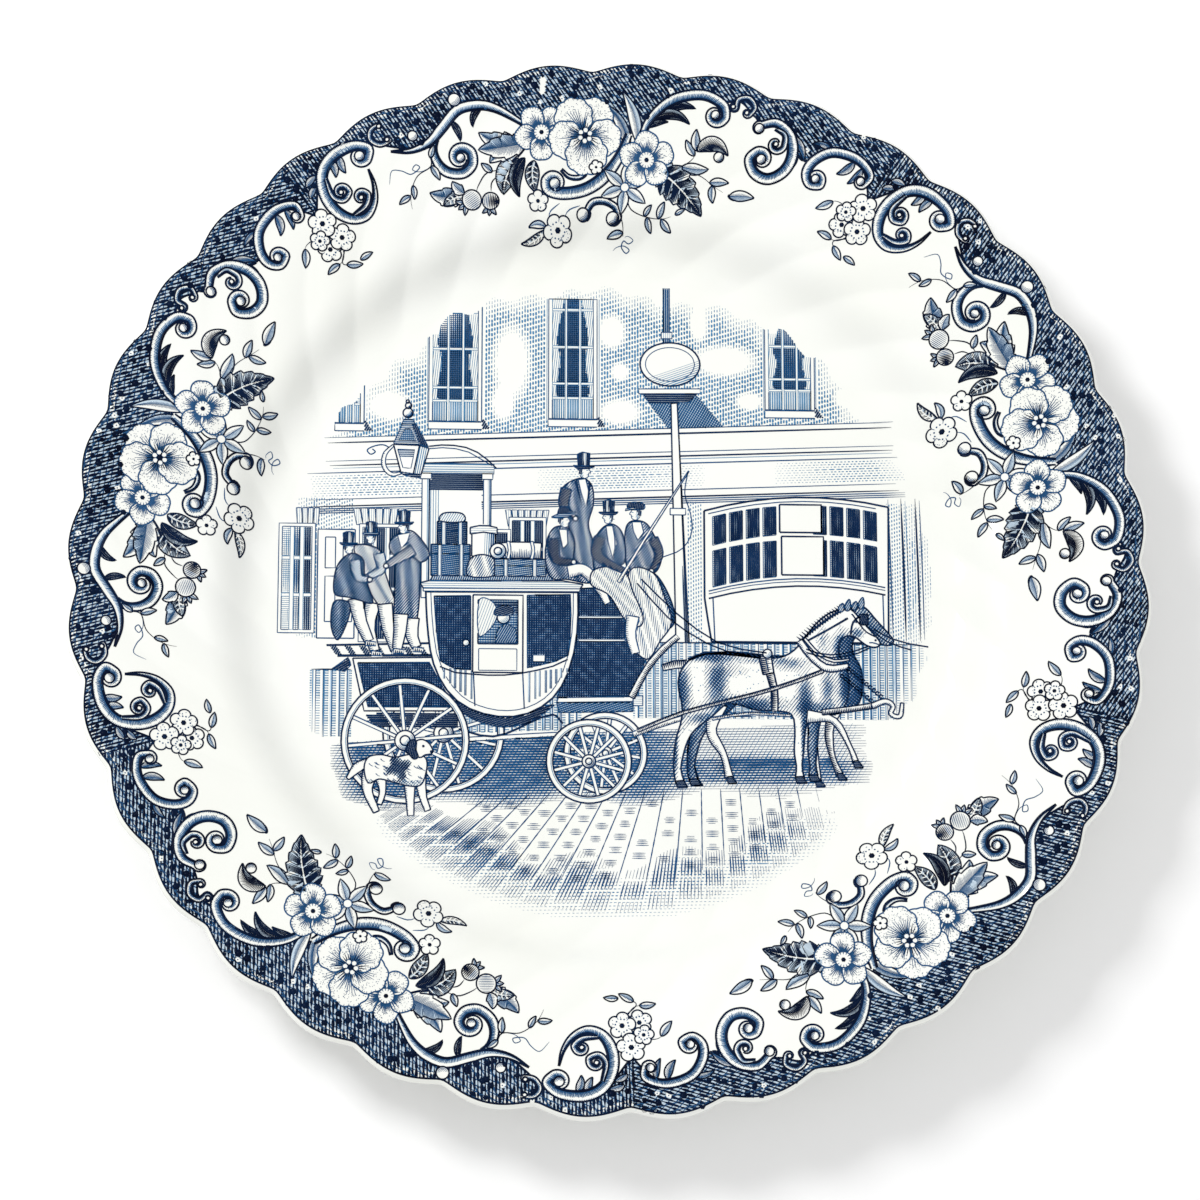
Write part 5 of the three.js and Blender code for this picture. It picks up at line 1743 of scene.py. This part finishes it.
def team(p):
    """A pair of horses with their harness, pole and reins."""
    for points in (
        [(23, -28), (21.8, -33), (19.4, -38.6), (20.6, -45.4)],
        [(49.6, -28), (48.2, -34), (49, -40), (49.4, -45.4)],
        [(54, -27), (52.2, -33), (52.8, -39), (54.6, -43.8)],
    ):
        leg(p, points, 3.8, 0.8)
    horse(p, 3.2, 0.5, 0.5)
    leg(p, [(26, -27), (24.4, -33.6), (27.2, -39), (28.6, -44.8)], 4.6)
    limb(p, [(18.8, -17.4), (16, -17.6), (13, -18.4)], (1.8, 1.9, 1.5), 0.95, 0.34)
    horse(p, 0, 0, 0)
    leg(p, [(47, -29.8), (53.4, -30.8), (57.2, -37.4), (58.4, -40.8)], 3.2)
    rule(p, [(19, -16.4), (23.6, -14.7), (30, -15), (36.6, -15.6)], 0.9)
    rule(p, [(60.2, -5.2), (58.2, -7), (57.6, -10)], 0.5)
    rule(p, [(58, -5), (61, -9), (63.4, -10.4)], 0.35)
    block(p, box(59.8, -7.6, 61.8, -5), 0.9, 70, 0.4, line=0.34)
    p.dot(complex(59, -6.9), 0.3)
    p.dot(complex(63.5, -11.3), 0.3)
    rule(p, [(64.2, -12.3), (62.9, -11.9), (62, -11.9)], 0.3)
    rule(p, [(46.2, -12.2), (51.6, -9.2), (57, -6)], 0.5)
    limb(p, [(45.4, -11.6), (48.2, -15.4), (52, -18.2), (57, -17.6)], (1.5, 1.6, 1.7, 1.4), 0.5, 0.42)
    limb(p, [(46.6, -11), (49.8, -14.6), (53.4, -16.4), (57.2, -16)], (0.7, 0.7, 0.7, 0.5), 0.2, 0.34)
    limb(p, [(37.2, -15.4), (38, -19.6)], (3, 2.6), 0.95, 0.4)
    limb(p, [(38.4, -19.6), (39.4, -24), (39.4, -28.6)], (1.8, 1.5, 1.5), 0.95, 0.42)
    rule(p, [(37.4, -16), (38, -19)], 0.3)
    bead(p, complex(37.8, -14.8), 1.1, 0.4)
    for points, width, line in (
        ([(51, -18.8), (44, -21.6), (36, -24.2), (27, -26.6), (17, -29.4), (7, -33.6)], 0.8, 0.34),
        ([(50.6, -28.8), (58, -27.9), (63.4, -27)], 1.3, 0.34),
        ([(43.2, -29.6), (33, -29.2), (24.6, -30.6)], 0.7, 0.3),
    ):
        limb(p, points, (width, width), 0.9, line)
    for k in range(10):
        link = complex(57 + 0.84 * k, -18.3 - 0.73 * k)
        for at in (link, link - 1.6 - 1.7j):
            p.stroke(ring(at, 0.42, 9), 0.4)
    limb(p, [(62.4, -27.2), (65.6, -26), (67.4, -27.2), (66.8, -29), (69, -29.6), (69.6, -26.4)],
         (1.4, 1.3, 1.1, 1.0, 1.0, 0.8), 0.5, 0.34)
    for points in (
        [(8, 3), (15, -4), (21, -9), (28, -13), (37.6, -14.6)],
        [(7, 2), (14, -6), (20, -10.4), (27, -14), (34, -15.4)],
        [(47, -13.6), (51.6, -14.9), (57, -14.4), (61.6, -12.8)],
        [(47, -14.4), (52, -15.6), (58, -14.9), (62, -13.2)],
        [(63, -8.6), (67, -10.8), (72, -12.2), (76, -12.8)], [(63.6, -9.8), (67, -12), (72, -13.6)],
    ):
        rule(p, points, 0.36)


def dog(p):
    """A small spotted dog beside the back wheel."""
    for points, widths in (
        ([(-55.2, -43), (-56.2, -48), (-54, -53.4)], (4.2, 2.2, 1.5)),
        ([(-53.4, -44), (-52.6, -48.4), (-53.4, -51.6)], (3, 1.6, 1.2)),
        ([(-44, -44), (-43.4, -49), (-42, -53)], (3.2, 1.8, 1.4)),
        ([(-46.4, -44), (-46.2, -50), (-46, -54.2)], (3.4, 2, 1.5)),
        ([(-55.6, -41.4), (-58.4, -42.8), (-60.8, -45.6)], (1.8, 2.4, 0.8)),
    ):
        limb(p, points, widths, 0.28, 0.34)
    body = [(-57, -43), (-56, -40.4), (-53, -39.8), (-50, -40.4), (-47, -39.8), (-44.4, -39.4),
            (-42.4, -41), (-42.6, -44.4), (-43.8, -47), (-46.4, -47.2), (-50, -46.4), (-53.4, -45.6),
            (-56, -46.6)]

    def spots(z):
        away = z + 49 + 42.8j
        return 0.85 * (np.abs(away) < 2.6 + 0.6 * np.sin(4 * np.angle(away))) + 0.3 * (z.imag < -45.8)

    block(p, body, spots, 50, 0.5, cross=lambda z: spots(z) / 2, line=0.34, rounded=True)
    for _ in range(46):
        root = complex(p.random.uniform(-56, -43.6), p.random.uniform(-46.4, -40.8))
        p.taper([root, root + 0.5 - 0.5j, root + 1.3 - 0.7j], 0.22, fade, only_inside=True)
    block(p, [(-45.6, -38.6), (-45.2, -36.8), (-43.6, -36.1), (-42, -36.9), (-41, -38.6),
              (-41.3, -39.5), (-42.8, -39.8), (-43.8, -40.4), (-45.2, -40)], 0.1, 60, 0.5, line=0.34,
          rounded=True)
    block(p, [(-47.4, -38.8), (-46.4, -36.5), (-44.9, -36.4), (-44.9, -38.6), (-44.4, -40.2),
              (-45.4, -40.8), (-46.6, -39.6)], 0.9, 80, 0.4, line=0.34, rounded=True)
    p.dot(complex(-43.2, -37.7), 0.34)
    p.dot(complex(-41.3, -39), 0.4)


def engraved_scene():
    """All the ink of the scene in the well."""
    p = Print(complex(-82, -82), complex(82, 82), reach=6.0)
    inn_upper(p)
    inn_lower(p)
    lamp(p)
    street(p)
    coach(p)
    passengers(p)
    team(p)
    dog(p)
    return p.visible_strokes(), p.visible_dots()


# ---------------------------------------------------------------- the printed pieces


def ink_material(name, deep, pale):
    """Glossy blue ink whose strength wanders between two colours, as a transfer's does."""
    material, tree, shader = node_material(name)
    wandering_colour(tree, shader, object_noise(tree, 90, 5), (0.35, deep), (0.75, pale))
    shader.inputs["Roughness"].default_value = 0.25
    shader.inputs["IOR"].default_value = 1.5
    shader.inputs["Specular IOR Level"].default_value = 0.05
    return material


def ink_pieces(name, drawing, node, tiers, turn=0):
    """
    One piece of ink for each tier of a drawing that was made turned back by turn. A tier is a name,
    its least strength, its height and its material, and the strongest tier comes first.
    """
    strokes, (centres, radii) = drawing
    swing = np.exp(1j * turn)
    weights = np.minimum(radii / FULL_INK_RADIUS, 1)
    limit = math.inf
    for tier, least, ink_top, material in tiers:
        chosen = [
            (path * swing, widths)
            for path, widths, strength in strokes
            if least <= strength < limit
        ]
        held = (least <= weights) & (weights < limit)
        dots = centres[held] * swing, radii[held]
        ink_piece(f"{name}_{tier}", chosen, dots, ink_top, node, material)
        limit = least


# Strong work holds more ink, so it stands higher and prints darker than light work.
DARK_TOP, FINE_TOP, FAINT_TOP, WASH_TOP = 0.06, 0.05, 0.04, 0.03
FAINTEST_LINE = 0.12
wash_ink = ink_material("wash_ink", (0.46, 0.58, 0.69), (0.58, 0.68, 0.76))
border_ink = ink_material("border_ink", (0.0002, 0.002, 0.012), (0.0025, 0.014, 0.05))
border_fine_ink = ink_material("border_fine_ink", (0.014, 0.068, 0.17), (0.030, 0.10, 0.23))
dark_ink = ink_material("dark_ink", (0.002, 0.016, 0.06), (0.006, 0.032, 0.1))
fine_ink = ink_material("fine_ink", (0.006, 0.058, 0.17), (0.015, 0.088, 0.23))
faint_ink = ink_material("faint_ink", (0.05, 0.2, 0.38), (0.09, 0.26, 0.46))
border_tiers = (
    ("dark", 0.7, DARK_TOP, border_ink),
    ("fine", FAINTEST_LINE, FINE_TOP, border_fine_ink),
    ("wash", 0, WASH_TOP, wash_ink),
)
centre_tiers = (
    ("dark", 0.8, DARK_TOP, dark_ink),
    ("fine", 0.5, FINE_TOP, fine_ink),
    ("faint", FAINTEST_LINE, FAINT_TOP, faint_ink),
    ("wash", 0, WASH_TOP, wash_ink),
)
for i in range(BORDER_LENGTHS):
    turn = FIRST_LENGTH - math.pi / 2 - 2 * math.pi * i / BORDER_LENGTHS
    drawing = engraved_border(turn, gap=i == 0)
    ink_pieces(f"border_ink_{i + 1}", drawing, f"border_print_{i + 1}", border_tiers, turn)
ink_pieces("centre_ink", engraved_scene(), "centre_print", centre_tiers)
